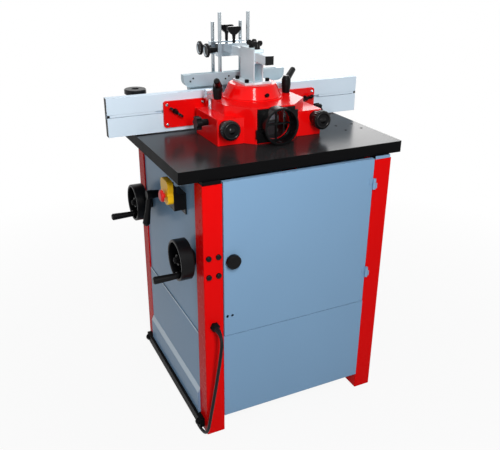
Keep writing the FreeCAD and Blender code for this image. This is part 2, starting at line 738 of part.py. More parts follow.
def spindle_rings():
    """Spacer rings on the shoulder, and the washer and nut at the top of the arbor."""
    pieces = []
    height = SPINDLE_SHOULDER + SHOULDER_HEIGHT
    for thickness in RING_HEIGHTS:
        pieces.append(on_spindle(ring(RING_OUTER, SPINDLE_RADIUS, height, height + thickness)))
        height += thickness
    nut_foot = SPINDLE_TOP - THREAD_LENGTH
    nut = on_spindle(ring(RING_OUTER, THREAD_RADIUS, nut_foot, nut_foot + NUT_HEIGHT))
    key = box(SPINDLE_X - RING_OUTER, SPINDLE_X + RING_OUTER, SPINDLE_Y - RING_OUTER,
              SPINDLE_Y + RING_OUTER, nut_foot + NUT_HEIGHT / 2, nut_foot + NUT_HEIGHT)
    flats = key.cut(box(SPINDLE_X - RING_OUTER, SPINDLE_X + RING_OUTER,
                        SPINDLE_Y - RING_OUTER * 0.75, SPINDLE_Y + RING_OUTER * 0.75,
                        nut_foot, nut_foot + NUT_HEIGHT))
    pieces.append(nut.cut(flats))
    return pieces


def quill():
    body = on_spindle(ring(QUILL_RADIUS, QUILL_BORE, QUILL_FOOT, QUILL_TOP))
    for foot in (QUILL_FOOT, QUILL_TOP - BEARING_HEIGHT):
        body = body.cut(rod(V(SPINDLE_X, SPINDLE_Y, foot), Z_AXIS, BEARING_RADIUS, BEARING_HEIGHT))
    half = LIFT_ARM_WIDTH / 2
    arm = box(SPINDLE_X - half, SPINDLE_X + half, SPINDLE_Y, HEIGHT_WHEEL_Y,
              QUILL_FOOT, QUILL_FOOT + LIFT_ARM_HEIGHT)
    end = rod(V(SPINDLE_X, HEIGHT_WHEEL_Y, QUILL_FOOT), Z_AXIS, half, LIFT_ARM_HEIGHT)
    collar = rod(V(SPINDLE_X, SPINDLE_Y, QUILL_FOOT), Z_AXIS, HOUSING_RADIUS, LIFT_ARM_HEIGHT)
    bore = rod(V(SPINDLE_X, SPINDLE_Y, QUILL_FOOT), Z_AXIS, QUILL_RADIUS, LIFT_ARM_HEIGHT)
    nut = rod(V(SPINDLE_X, HEIGHT_WHEEL_Y, QUILL_FOOT), Z_AXIS, LIFT_SCREW_RADIUS + RUNNING,
              LIFT_ARM_HEIGHT)
    return fuse(body, fuse(arm, end, collar).cut(bore).cut(nut))


def quill_bearings():
    return [on_spindle(ring(BEARING_RADIUS, SPINDLE_RADIUS + RUNNING, foot, foot + BEARING_HEIGHT))
            for foot in (QUILL_FOOT, QUILL_TOP - BEARING_HEIGHT)]


def quill_housing():
    barrel = on_spindle(ring(HOUSING_RADIUS, QUILL_RADIUS + RUNNING, HOUSING_FOOT, TABLE_FOOT))
    flange = on_spindle(ring(HOUSING_FLANGE, HOUSING_RADIUS, TABLE_FOOT - FLANGE_THICKNESS, TABLE_FOOT))
    half = CLAMP_EAR_WIDTH / 2
    ears = box(SPINDLE_X - half, SPINDLE_X + half, SPINDLE_Y, SPINDLE_Y + CLAMP_EAR_REACH,
               LOCK_Z - CLAMP_EAR_HEIGHT / 2, LOCK_Z + CLAMP_EAR_HEIGHT / 2)
    ears = ears.cut(rod(V(SPINDLE_X, SPINDLE_Y, HOUSING_FOOT - POST_SIDE), Z_AXIS,
                        QUILL_RADIUS + RUNNING, TABLE_FOOT))
    body = fuse(barrel, flange, ears)
    slit = box(SPINDLE_X - CLAMP_SLIT / 2, SPINDLE_X + CLAMP_SLIT / 2,
               SPINDLE_Y, SPINDLE_Y + CLAMP_EAR_REACH, HOUSING_FOOT, LOCK_Z + CLAMP_EAR_HEIGHT / 2)
    bolt = rod(V(SPINDLE_X - half, LOCK_Y, LOCK_Z), X_AXIS, LOCK_SHAFT + RUNNING, CLAMP_EAR_WIDTH)
    return body.cut(slit).cut(bolt)


def bevel_gear(place, axis, phase):
    """Mitre gear on an axis that points away from the shared apex."""
    apex_distance = GEAR_RADIUS
    slant = GEAR_RADIUS * math.sqrt(2)
    shrink = (slant - GEAR_FACE) / slant
    addendum, dedendum = GEAR_MODULE, 1.25 * GEAR_MODULE
    root_radius = GEAR_RADIUS - dedendum * math.sqrt(0.5)
    root_height = apex_distance + dedendum * math.sqrt(0.5)
    back = root_height + GEAR_MODULE
    gear = turned([(0, root_height * shrink), (root_radius * shrink, root_height * shrink),
                   (root_radius, root_height), (root_radius, back), (0, back)], V(0, 0, 0), Z_AXIS)
    pitch = math.pi * GEAR_MODULE
    widths = ((-dedendum - 0.2, 1.35), (0, 1.0), (addendum, 0.55))
    right = [(share * TOOTH_SHARE * pitch / 2, rise) for rise, share in widths]
    section = right + [(-across, rise) for across, rise in reversed(right)]
    outward = V(math.sqrt(0.5), 0, -math.sqrt(0.5))
    for index in range(GEAR_TEETH):
        loops = []
        for scale in (1.0, shrink):
            middle = V(GEAR_RADIUS, 0, apex_distance)
            points = [(middle + outward * rise + Y_AXIS * across) * scale for across, rise in section]
            loops.append(Part.makePolygon(points + [points[0]]))
        tooth = Part.makeLoft(loops, True, True)
        tooth.rotate(V(0, 0, 0), Z_AXIS, phase + index * 360 / GEAR_TEETH)
        gear = gear.fuse(tooth)
    return point_along(gear.removeSplitter(), place, axis)


def lift_apex():
    return V(SPINDLE_X, HEIGHT_WHEEL_Y, HEIGHT_WHEEL_Z)


def lift_screw():
    top = HEIGHT_WHEEL_Z - GEAR_BACK
    screw = rod(V(SPINDLE_X, HEIGHT_WHEEL_Y, LIFT_SCREW_FOOT), Z_AXIS, LIFT_SCREW_RADIUS,
                top - LIFT_SCREW_FOOT)
    return fuse(screw, bevel_gear(lift_apex(), -Z_AXIS, 180 / GEAR_TEETH))


def lift_hanger():
    """Hanger under the table that carries the lift screw at its foot and its head."""
    half = LIFT_ARM_WIDTH / 2
    wall_y = HEIGHT_WHEEL_Y + half + QUILL_DOWN / 3
    wall = box(SPINDLE_X - half, SPINDLE_X + half, wall_y, wall_y + LIFT_PLATE,
               LIFT_SCREW_FOOT - LIFT_PLATE, PLATE_FOOT)
    foot = box(SPINDLE_X - half, SPINDLE_X + half, HEIGHT_WHEEL_Y - half, wall_y,
               LIFT_SCREW_FOOT - LIFT_PLATE, LIFT_SCREW_FOOT + LIFT_PLATE)
    socket = rod(V(SPINDLE_X, HEIGHT_WHEEL_Y, LIFT_SCREW_FOOT), Z_AXIS,
                 LIFT_SCREW_RADIUS + RUNNING, LIFT_PLATE)
    hanger_x = SPINDLE_X - GEAR_BACK - LIFT_PLATE - SLIDING
    ear = box(hanger_x - LIFT_PLATE, hanger_x, HEIGHT_WHEEL_Y - half, wall_y + LIFT_PLATE,
              HEIGHT_WHEEL_Z - half, PLATE_FOOT)
    hole = rod(V(hanger_x - LIFT_PLATE, HEIGHT_WHEEL_Y, HEIGHT_WHEEL_Z), X_AXIS,
               SHAFT_RADIUS + RUNNING, LIFT_PLATE)
    tie = box(hanger_x - LIFT_PLATE, SPINDLE_X + half, wall_y, wall_y + LIFT_PLATE,
              PLATE_FOOT - POST_SIDE, PLATE_FOOT)
    return fuse(wall, foot.cut(socket), ear.cut(hole), tie)


# Wheels and levers on the control side


def grip_place(y, z, angle):
    """Middle of the grip on a wheel whose axis is at (y, z)."""
    turn = math.radians(angle)
    return y + GRIP_CIRCLE * math.sin(turn), z - GRIP_CIRCLE * math.cos(turn)


def hand_wheel(y, z, reach, angle):
    """Deep-rimmed wheel with its hub, spokes and the fixed pin of its grip, facing -X."""
    front = LEFT - reach
    inner = WHEEL_RADIUS - WHEEL_RIM
    round_off = WHEEL_RIM / 4
    rim = turned([(inner, round_off), (inner + round_off, 0), (WHEEL_RADIUS - round_off, 0),
                  (WHEEL_RADIUS, round_off), (WHEEL_RADIUS, WHEEL_RIM_WIDTH - round_off),
                  (WHEEL_RADIUS - round_off, WHEEL_RIM_WIDTH), (inner, WHEEL_RIM_WIDTH)],
                 V(front, y, z), X_AXIS)
    hub = rod(V(front + WHEEL_RIM, y, z), X_AXIS, WHEEL_HUB, reach - WHEEL_RIM - SLIDING)
    wheel = fuse(rim, hub)
    back = front + WHEEL_RIM_WIDTH
    for index in range(WHEEL_SPOKES):
        spoke = box(back - SPOKE_DEPTH, back, y - SPOKE_WIDTH / 2, y + SPOKE_WIDTH / 2,
                    z - inner - round_off, z)
        spoke.rotate(V(back, y, z), X_AXIS, angle + index * 360 / WHEEL_SPOKES)
        wheel = wheel.fuse(spoke)
    grip_y, grip_z = grip_place(y, z, angle)
    boss = rod(V(front, grip_y, grip_z), X_AXIS, GRIP_RADIUS, WHEEL_RIM_WIDTH)
    pin = rod(V(front - GRIP_LENGTH * 0.8, grip_y, grip_z), X_AXIS, GRIP_PIN, GRIP_LENGTH * 0.8)
    return fuse(wheel, boss, pin)


def wheel_grip(y, z, reach, angle):
    grip_y, grip_z = grip_place(y, z, angle)
    end = LEFT - reach - SLIDING
    tip = GRIP_RADIUS / 3
    grip = turned([(0, GRIP_LENGTH), (GRIP_RADIUS - tip, GRIP_LENGTH), (GRIP_RADIUS, GRIP_LENGTH - tip),
                   (GRIP_RADIUS * 0.8, 0), (0, 0)], V(end, grip_y, grip_z), -X_AXIS)
    return grip.cut(rod(V(end, grip_y, grip_z), -X_AXIS, GRIP_PIN + RUNNING, GRIP_LENGTH * 0.82))


def height_wheel():
    wheel = hand_wheel(HEIGHT_WHEEL_Y, HEIGHT_WHEEL_Z, HEIGHT_WHEEL_REACH, HEIGHT_GRIP_ANGLE)
    start = LEFT - HEIGHT_WHEEL_REACH + WHEEL_RIM
    shaft = rod(V(start, HEIGHT_WHEEL_Y, HEIGHT_WHEEL_Z), X_AXIS, SHAFT_RADIUS,
                SPINDLE_X - GEAR_BACK - start)
    return fuse(wheel, shaft, bevel_gear(lift_apex(), -X_AXIS, 0))


def tension_wheel():
    wheel = hand_wheel(TENSION_WHEEL_Y, TENSION_WHEEL_Z, TENSION_WHEEL_REACH, TENSION_GRIP_ANGLE)
    start = LEFT - TENSION_WHEEL_REACH + WHEEL_RIM
    end = LEFT + POST_SIDE
    shaft = rod(V(start, TENSION_WHEEL_Y, TENSION_WHEEL_Z), X_AXIS, SHAFT_RADIUS, end - start)
    screw = rod(V(end, TENSION_WHEEL_Y, TENSION_WHEEL_Z), X_AXIS, TENSION_SCREW_RADIUS,
                MOTOR_X - PLATE_HALF + LUG_THICKNESS + MOTOR_SLACK - end)
    return fuse(wheel, shaft, screw)


def lock_lever():
    half = CLAMP_EAR_WIDTH / 2
    hub_end = LEFT - LOCK_HUB_LENGTH
    hub = turned([(0, 0), (LOCK_HUB * 0.8, 0), (LOCK_HUB, LOCK_HUB_LENGTH * 0.6),
                  (LOCK_HUB, LOCK_HUB_LENGTH), (0, LOCK_HUB_LENGTH)],
                 V(LEFT - SLIDING, LOCK_Y, LOCK_Z), -X_AXIS)
    arm = turned([(0, 0), (LOCK_HUB * 0.75, 0), (LOCK_HUB * 0.6, LOCK_ARM_LENGTH * 0.5),
                  (LOCK_HUB * 0.85, LOCK_ARM_LENGTH - LOCK_HUB / 2), (LOCK_HUB * 0.5, LOCK_ARM_LENGTH),
                  (0, LOCK_ARM_LENGTH)], V(0, 0, 0), -Z_AXIS)
    arm.rotate(V(0, 0, 0), Y_AXIS, LOCK_ARM_TILT)
    arm.translate(V(hub_end + LOCK_HUB * 0.75 - SLIDING, LOCK_Y, LOCK_Z))
    shaft = rod(V(LEFT - LOCK_HUB, LOCK_Y, LOCK_Z), X_AXIS, LOCK_SHAFT,
                SPINDLE_X + half + SLIDING - LEFT + LOCK_HUB)
    head = rod(V(SPINDLE_X + half + SLIDING, LOCK_Y, LOCK_Z), X_AXIS, LOCK_HUB, LOCK_HUB / 2)
    return fuse(hub, arm, shaft, head)


# Drive


def drive_frame():
    """Two cross rails, the bracket that holds the spindle pulley, and the lift screw's hanger."""
    half = RAIL_SIDE / 2
    rails = [box(CONTROL_FACE + SHEET, RIGHT - SHEET, y - half, y + half,
                 RAIL_TOP - RAIL_SIDE, RAIL_TOP) for y in (RAIL_NEAR_Y, RAIL_FAR_Y)]
    plate = box(SPINDLE_X - BRACKET_LEFT, SPINDLE_X + BRACKET_RIGHT, RAIL_NEAR_Y - half,
                RAIL_FAR_Y + half, RAIL_TOP, RAIL_TOP + BRACKET_THICKNESS)
    boss_top = SLEEVE_TOP - COLLAR_HEIGHT - SLIDING
    boss = rod(V(SPINDLE_X, SPINDLE_Y, RAIL_TOP), Z_AXIS, BOSS_RADIUS, boss_top - RAIL_TOP)
    bore = rod(V(SPINDLE_X, SPINDLE_Y, RAIL_TOP), Z_AXIS, SLEEVE_RADIUS + RUNNING, boss_top - RAIL_TOP)
    return rails + [fuse(plate, boss).cut(bore), lift_hanger()]


def stepped_pulley(steps):
    """Outline of a two-step pulley with thin rims, downwards from its top face."""
    top = PULLEY_TOP
    middle = top - PULLEY_STEP
    foot = middle - PULLEY_STEP
    first, second = steps
    rim = PULLEY_RIM
    return [(0, top), (first + rim, top), (first + rim, top - rim), (first, top - rim),
            (first, middle + rim), (max(steps) + rim, middle + rim), (max(steps) + rim, middle),
            (second, middle), (second, foot + rim), (second + rim, foot + rim), (second + rim, foot),
            (0, foot)]


def spindle_pulley():
    body = on_spindle(stepped_pulley(SPINDLE_STEPS))
    sleeve = rod(V(SPINDLE_X, SPINDLE_Y, PULLEY_TOP), Z_AXIS, SLEEVE_RADIUS, SLEEVE_TOP - PULLEY_TOP)
    collar = rod(V(SPINDLE_X, SPINDLE_Y, SLEEVE_TOP - COLLAR_HEIGHT), Z_AXIS, COLLAR_RADIUS, COLLAR_HEIGHT)
    bore = splined(TAIL_RADIUS, RUNNING, PULLEY_TOP - 2 * PULLEY_STEP, SLEEVE_TOP)
    return fuse(body, sleeve, collar).cut(bore)


def motor_plate():
    half = RAIL_SIDE / 2
    foot = RAIL_TOP + SLIDING
    top = foot + BRACKET_THICKNESS
    plate = box(MOTOR_X - PLATE_HALF, MOTOR_X + PLATE_HALF, PLATE_NEAR_Y, RAIL_FAR_Y + half, foot, top)
    hole = rod(V(MOTOR_X, MOTOR_Y, foot), Z_AXIS, MOTOR_SHAFT * 1.5, BRACKET_THICKNESS)
    lug_x = MOTOR_X - PLATE_HALF
    lug = box(lug_x, lug_x + LUG_THICKNESS, TENSION_WHEEL_Y - LUG_WIDTH / 2,
              TENSION_WHEEL_Y + LUG_WIDTH / 2, foot, TENSION_WHEEL_Z + LUG_WIDTH / 2)
    nut = rod(V(lug_x, TENSION_WHEEL_Y, TENSION_WHEEL_Z), X_AXIS, TENSION_SCREW_RADIUS + RUNNING,
              LUG_THICKNESS)
    return fuse(plate.cut(hole), lug.cut(nut))


def motor():
    foot = RAIL_TOP + SLIDING + BRACKET_THICKNESS
    body = rod(V(MOTOR_X, MOTOR_Y, foot), Z_AXIS, MOTOR_RADIUS, MOTOR_HEIGHT)
    flange = rod(V(MOTOR_X, MOTOR_Y, foot), Z_AXIS, MOTOR_RADIUS + FIN_DEPTH, BRACKET_THICKNESS)
    shapes = [flange]
    for index in range(MOTOR_FINS):
        fin = box(MOTOR_RADIUS - FIN_DEPTH, MOTOR_RADIUS + FIN_DEPTH, -FIN_WIDTH / 2, FIN_WIDTH / 2,
                  foot, foot + MOTOR_HEIGHT * 0.8)
        fin.rotate(V(0, 0, 0), Z_AXIS, (index + 0.5) * 360 / MOTOR_FINS)
        fin.translate(V(MOTOR_X, MOTOR_Y, 0))
        shapes.append(fin)
    terminal = box(MOTOR_X + MOTOR_RADIUS - FIN_DEPTH, MOTOR_X + MOTOR_RADIUS + 5 * FIN_DEPTH,
                   MOTOR_Y - MOTOR_RADIUS / 2, MOTOR_Y + MOTOR_RADIUS / 2,
                   foot + MOTOR_HEIGHT * 0.3, foot + MOTOR_HEIGHT * 0.7)
    bore = rod(V(MOTOR_X, MOTOR_Y, foot), Z_AXIS, MOTOR_SHAFT + RUNNING, MOTOR_HEIGHT * 0.9)
    return fuse(body, *shapes, terminal).cut(bore)


def motor_pulley():
    foot = PULLEY_TOP - 2 * PULLEY_STEP
    body = turned(stepped_pulley(MOTOR_STEPS), V(MOTOR_X, MOTOR_Y, 0), Z_AXIS)
    top = RAIL_TOP + SLIDING + BRACKET_THICKNESS + MOTOR_HEIGHT * 0.85
    shaft = rod(V(MOTOR_X, MOTOR_Y, foot), Z_AXIS, MOTOR_SHAFT, top - foot)
    return fuse(body, shaft)


def belt_hull(grow, z0, z1):
    """Solid bounded by the belt's line round both pulleys, grown by a distance."""
    start, end = V(SPINDLE_X, SPINDLE_Y, z0), V(MOTOR_X, MOTOR_Y, z0)
    r_start, r_end = SPINDLE_STEPS[0] + grow, MOTOR_STEPS[0] + grow
    line = end - start
    heading = math.atan2(line.y, line.x)
    opening = math.acos((r_start - r_end) / line.Length)
    corners = []
    touches = ((start, r_start, 1), (end, r_end, 1), (end, r_end, -1), (start, r_start, -1))
    for centre, radius, sign in touches:
        angle = heading + sign * opening
        corners.append(centre + V(math.cos(angle), math.sin(angle), 0) * radius)
    height = z1 - z0
    return fuse(prism(corners, V(0, 0, height)), rod(start, Z_AXIS, r_start, height),
                rod(end, Z_AXIS, r_end, height))


def drive_belt():
    z0, z1 = BELT_Z - BELT_WIDTH / 2, BELT_Z + BELT_WIDTH / 2
    return belt_hull(SLIDING + BELT_THICKNESS, z0, z1).cut(belt_hull(SLIDING, z0, z1))


# Hood


def hood_outline(inset, back):
    """Plan of the hood, open towards the fence, inset by a wall."""
    slant = inset * (math.sqrt(2) - 1)
    half, flat_half = HOOD_HALF - inset, HOOD_FLAT - slant
    front, corner = HOOD_FRONT + inset, HOOD_CHAMFER_Y + slant
    plan = [(-half, back), (-half, corner), (-flat_half, front),
            (flat_half, front), (half, corner), (half, back)]
    return [(SPINDLE_X + x, y) for x, y in plan]


def hood():
    shell = flat(hood_outline(0, HOOD_BACK), HOOD_FOOT, HOOD_TOP)
    shell = soften(shell, HOOD_WALL * 1.6, lambda e: is_upright(e) and e.firstVertex().Point.y < EAR_BACK)
    axis = V(SPINDLE_X, SPINDLE_Y, HOOD_TOP)
    dome = turned([(0, 0), (DOME_COLLAR, 0), (DOME_COLLAR, COLLAR_STEP), (DOME_RADIUS, COLLAR_STEP),
                   (DOME_TOP_RADIUS + DOME_ROUND * 0.4, DOME_HEIGHT - DOME_ROUND),
                   (DOME_TOP_RADIUS - DOME_ROUND * 0.2, DOME_HEIGHT - DOME_ROUND * 0.3),
                   (DOME_TOP_RADIUS - DOME_ROUND, DOME_HEIGHT), (0, DOME_HEIGHT)], axis, Z_AXIS)
    dome = dome.cut(box(-CABINET_WIDTH, CABINET_WIDTH, HOOD_BACK, CABINET_DEPTH, HOOD_FOOT, COLUMN_TOP))
    chamber = flat(hood_outline(HOOD_WALL, HOOD_BACK), HOOD_FOOT, HOOD_TOP - HOOD_WALL)
    inside = DOME_RADIUS - HOOD_WALL
    attic = turned([(0, -HOOD_WALL), (inside, -HOOD_WALL), (inside, COLLAR_STEP),
                    (DOME_TOP_RADIUS - HOOD_WALL, DOME_HEIGHT - HOOD_WALL), (0, DOME_HEIGHT - HOOD_WALL)],
                   axis, Z_AXIS)
    attic = attic.cut(box(-CABINET_WIDTH, CABINET_WIDTH, HOOD_BACK - HOOD_WALL, CABINET_DEPTH,
                          HOOD_FOOT, COLUMN_TOP))
    body = fuse(shell, dome)
    for ear in (hood_ear(), mirrored(hood_ear())):
        body = body.fuse(ear)
    body = body.removeSplitter().cut(chamber).cut(attic)
    for bore in (guide_bores(), mirrored(guide_bores())):
        body = body.cut(bore)
    for place in clamp_places():
        body = body.cut(rod(place + V(0, 0, HOOD_TOP - HOOD_WALL), Z_AXIS, CLAMP_STUD + RUNNING, HOOD_WALL))
    port = rod(V(SPINDLE_X, HOOD_FRONT, PORT_Z), Y_AXIS, PORT_BORE - PORT_LEDGE, HOOD_WALL)
    return body.cut(port)


def hood_ear():
    """Left ear: the block that guides the fence carrier."""
    outer, inner = SPINDLE_X - EAR_OUT, SPINDLE_X - HOOD_HALF
    reach = EAR_FRONT - HOOD_CHAMFER_Y
    plan = [(outer, EAR_BACK), (outer, EAR_FRONT), (inner - reach, EAR_FRONT),
            (inner, HOOD_CHAMFER_Y), (inner, EAR_BACK)]
    ear = flat(plan, HOOD_FOOT, EAR_TOP)
    return soften(ear, HOOD_WALL, lambda e: is_upright(e) and e.firstVertex().Point.x < outer + 1)


def guide_bores():
    """Square guide, screw hole and clamp hole in the left ear."""
    x = SPINDLE_X - GUIDE_OFFSET
    half, tall = GUIDE_WIDTH / 2 + SLIDING, GUIDE_HEIGHT / 2 + SLIDING
    square = box(x - half, x + half, GUIDE_FRONT - CARRIER_BACK_TRAVEL - SLIDING, EAR_BACK,
                 GUIDE_Z - tall, GUIDE_Z + tall)
    screw = rod(V(x, EAR_FRONT, GUIDE_Z), Y_AXIS, FINE_SCREW + RUNNING, GUIDE_FRONT - EAR_FRONT)
    clamp = rod(V(SPINDLE_X - EAR_OUT, STAR_Y, STAR_Z), X_AXIS, STAR_STUD + RUNNING, EAR_OUT - GUIDE_OFFSET)
    return fuse(square, screw, clamp)


def dust_port():
    plate = box(SPINDLE_X - PORT_FLANGE_HALF, SPINDLE_X + PORT_FLANGE_HALF,
                HOOD_FRONT - PORT_FLANGE, HOOD_FRONT,
                HOOD_FOOT + COLLAR_STEP, HOOD_TOP - COLLAR_STEP)
    lugs = []
    for side, z in ((-1, PORT_Z - PORT_BORE / 2), (1, PORT_Z + PORT_BORE / 2)):
        x = SPINDLE_X + side * (PORT_FLANGE_HALF - PORT_LUG / 2)
        lugs.append(box(x - PORT_LUG, x + PORT_LUG, HOOD_FRONT - 2 * PORT_FLANGE, HOOD_FRONT - PORT_FLANGE,
                        z - PORT_LUG, z + PORT_LUG))
    outer = PORT_BORE + PORT_WALL
    end = PORT_FLANGE + PORT_LENGTH
    tube = turned([(0, 0), (outer, 0), (outer, end - PORT_BEAD), (PORT_BORE + PORT_BEAD, end - PORT_BEAD),
                   (PORT_BORE + PORT_BEAD, end), (0, end)], V(SPINDLE_X, HOOD_FRONT, PORT_Z), -Y_AXIS)
    bore = turned([(0, 0), (PORT_BORE - PORT_LEDGE, 0), (PORT_BORE - PORT_LEDGE, PORT_FLANGE),
                   (PORT_BORE, PORT_FLANGE), (PORT_BORE, end), (0, end)],
                  V(SPINDLE_X, HOOD_FRONT, PORT_Z), -Y_AXIS)
    half = PORT_SPOKE / 2
    across = box(SPINDLE_X - PORT_BORE, SPINDLE_X + PORT_BORE, HOOD_FRONT - PORT_FLANGE, HOOD_FRONT,
                 PORT_Z - half, PORT_Z + half)
    upright = box(SPINDLE_X - half, SPINDLE_X + half, HOOD_FRONT - PORT_FLANGE, HOOD_FRONT,
                  PORT_Z - PORT_BORE, PORT_Z + PORT_BORE)
    return fuse(fuse(plate, tube, *lugs).cut(bore), across, upright)


def clamp_lever(place, heading):
    """Clamp lever standing on the hood, with its stud reaching down to the nut."""
    base = place + V(0, 0, HOOD_TOP + SLIDING)
    hub = turned([(0, 0), (CLAMP_HUB * 0.8, 0), (CLAMP_HUB, CLAMP_HUB_HEIGHT * 0.5),
                  (CLAMP_HUB * 0.95, CLAMP_HUB_HEIGHT * 0.8), (CLAMP_HUB * 0.6, CLAMP_HUB_HEIGHT),
                  (0, CLAMP_HUB_HEIGHT)], base, Z_AXIS)
    arm = turned([(0, 0), (CLAMP_HUB * 0.72, 0), (CLAMP_HUB * 0.62, CLAMP_ARM * 0.92),
                  (CLAMP_HUB * 0.4, CLAMP_ARM), (0, CLAMP_ARM)], V(0, 0, 0), Z_AXIS)
    arm.rotate(V(0, 0, 0), Y_AXIS, CLAMP_ARM_TILT)
    arm.rotate(V(0, 0, 0), Z_AXIS, heading)
    arm.translate(base + V(0, 0, CLAMP_HUB_HEIGHT - CLAMP_HUB))
    foot = PLATE_FOOT - SLIDING - CLAMP_NUT_HEIGHT
    stud = rod(V(place.x, place.y, foot), Z_AXIS, CLAMP_STUD, base.z - foot)
    return fuse(hub, arm, stud)


def wing_screw(place, axis, turn, stud, span):
    """Knob with two wings, drawn standing on its face, with a stud behind it."""
    hub = turned([(0, 0), (WING_HUB, 0), (WING_HUB * 0.7, WING_HUB_HEIGHT), (0, WING_HUB_HEIGHT)],
                 V(0, 0, 0), Z_AXIS)
    out = span / 2 - WING_LOBE
    front = -WING_THICKNESS / 2
    low = WING_HUB_HEIGHT - WING_LOBE * 0.8
    high = WING_HUB_HEIGHT + WING_LOBE * 0.6
    root = WING_HUB_HEIGHT * 0.3
    web = prism([V(-out, front, high), V(-out, front, low), V(-WING_HUB * 0.8, front, root),
                 V(WING_HUB * 0.8, front, root), V(out, front, low), V(out, front, high),
                 V(0, front, WING_HUB_HEIGHT * 0.8)], V(0, WING_THICKNESS, 0))
    lobes = [rod(V(x, front, WING_HUB_HEIGHT), Y_AXIS, WING_LOBE, WING_THICKNESS) for x in (-out, out)]
    pin = rod(V(0, 0, -stud), Z_AXIS, WING_STUD, stud)
    knob = fuse(hub, web, *lobes, pin)
    knob.rotate(V(0, 0, 0), Z_AXIS, turn)
    return point_along(knob, place, axis)


def column_foot():
    return HOOD_TOP + DOME_HEIGHT


def column():
    """Upright channel, open towards the door, with the arm lying on a saddle in it."""
    foot = column_foot()
    half = COLUMN_PLATE / 2
    plate = box(SPINDLE_X - half, SPINDLE_X + half, SPINDLE_Y - half, SPINDLE_Y + half,
                foot, foot + COLUMN_PLATE_THICKNESS)
    y0, y1 = COLUMN_Y - COLUMN_DEPTH / 2, COLUMN_Y + COLUMN_DEPTH / 2
    half = COLUMN_WIDTH / 2
    inside = ARM_SIDE / 2 + SLIDING
    block = box(SPINDLE_X - half, SPINDLE_X + half, y0, y1, foot, COLUMN_TOP)
    channel = box(SPINDLE_X - inside, SPINDLE_X + inside, y0, y1 - COLUMN_WEB,
                  foot + COLUMN_PLATE_THICKNESS, ARM_FOOT - SLIDING - SADDLE)
    arm_way = box(SPINDLE_X - inside, SPINDLE_X + inside, y0, y1, ARM_FOOT - SLIDING,
                  ARM_FOOT + ARM_SIDE + SLIDING)
    body = fuse(plate, block).cut(channel).cut(arm_way)
    for y in ARM_SCREW_Y:
        body = body.cut(rod(V(SPINDLE_X, y, ARM_FOOT + ARM_SIDE), Z_AXIS, WING_STUD + RUNNING,
                            COLUMN_TOP - ARM_FOOT - ARM_SIDE))
    return body


def hood_bolts():
    """Bolts of the column's plate, the dome's screw and the clamp nuts under the table."""
    pieces = []
    top = column_foot() + COLUMN_PLATE_THICKNESS
    half = COLUMN_BOLT_SPACING / 2
    for x in (-half, half):
        for y in (-half, half):
            pieces.append(turned([(0, 0), (COLUMN_BOLT, 0), (COLUMN_BOLT, COLUMN_BOLT_HEIGHT),
                                  (COLUMN_BOLT * 0.5, COLUMN_BOLT_HEIGHT),
                                  (COLUMN_BOLT * 0.5, COLUMN_BOLT_HEIGHT / 2), (0, COLUMN_BOLT_HEIGHT / 2)],
                                 V(SPINDLE_X + x, SPINDLE_Y + y, top), Z_AXIS))
    angle = math.radians(DOME_SCREW_ANGLE)
    slope = (DOME_RADIUS - DOME_TOP_RADIUS) / (DOME_HEIGHT - COLLAR_STEP)
    out = V(math.cos(angle), math.sin(angle), 0)
    way = (out + Z_AXIS * slope).normalize()
    rise = 2 * DOME_SCREW
    seat = V(SPINDLE_X, SPINDLE_Y, HOOD_TOP + COLLAR_STEP + rise) + out * (DOME_RADIUS - slope * rise)
    pieces.append(rod(seat + way * RUNNING, way, DOME_SCREW, 2 * DOME_SCREW))
    half = CLAMP_NUT / 2
    z1 = PLATE_FOOT - SLIDING
    for place in clamp_places():
        nut = box(place.x - half, place.x + half, place.y - half, place.y + half, z1 - CLAMP_NUT_HEIGHT, z1)
        pieces.append(nut.cut(rod(V(place.x, place.y, z1 - CLAMP_NUT_HEIGHT), Z_AXIS,
                                  CLAMP_STUD + RUNNING, CLAMP_NUT_HEIGHT)))
    return pieces


def guard_post():
    """Pin on the left ear with a split clamp block on its head."""
    pin = rod(V(PIN_X, PIN_Y, EAR_TOP), Z_AXIS, PIN_RADIUS, PIN_TOP - EAR_TOP)
    across, deep, tall = PIN_HEAD
    x0 = PIN_X + PIN_RADIUS - across
    block = box(x0, x0 + across, PIN_Y - deep / 2, PIN_Y + deep / 2, PIN_TOP, PIN_TOP + tall)
    slit = box(x0, x0 + across * 0.8, PIN_Y - deep / 2, PIN_Y + deep / 2,
               PIN_TOP + tall * 0.55, PIN_TOP + tall * 0.55 + PIN_HEAD_SLIT)
    return fuse(pin, block.cut(slit))


# Fence


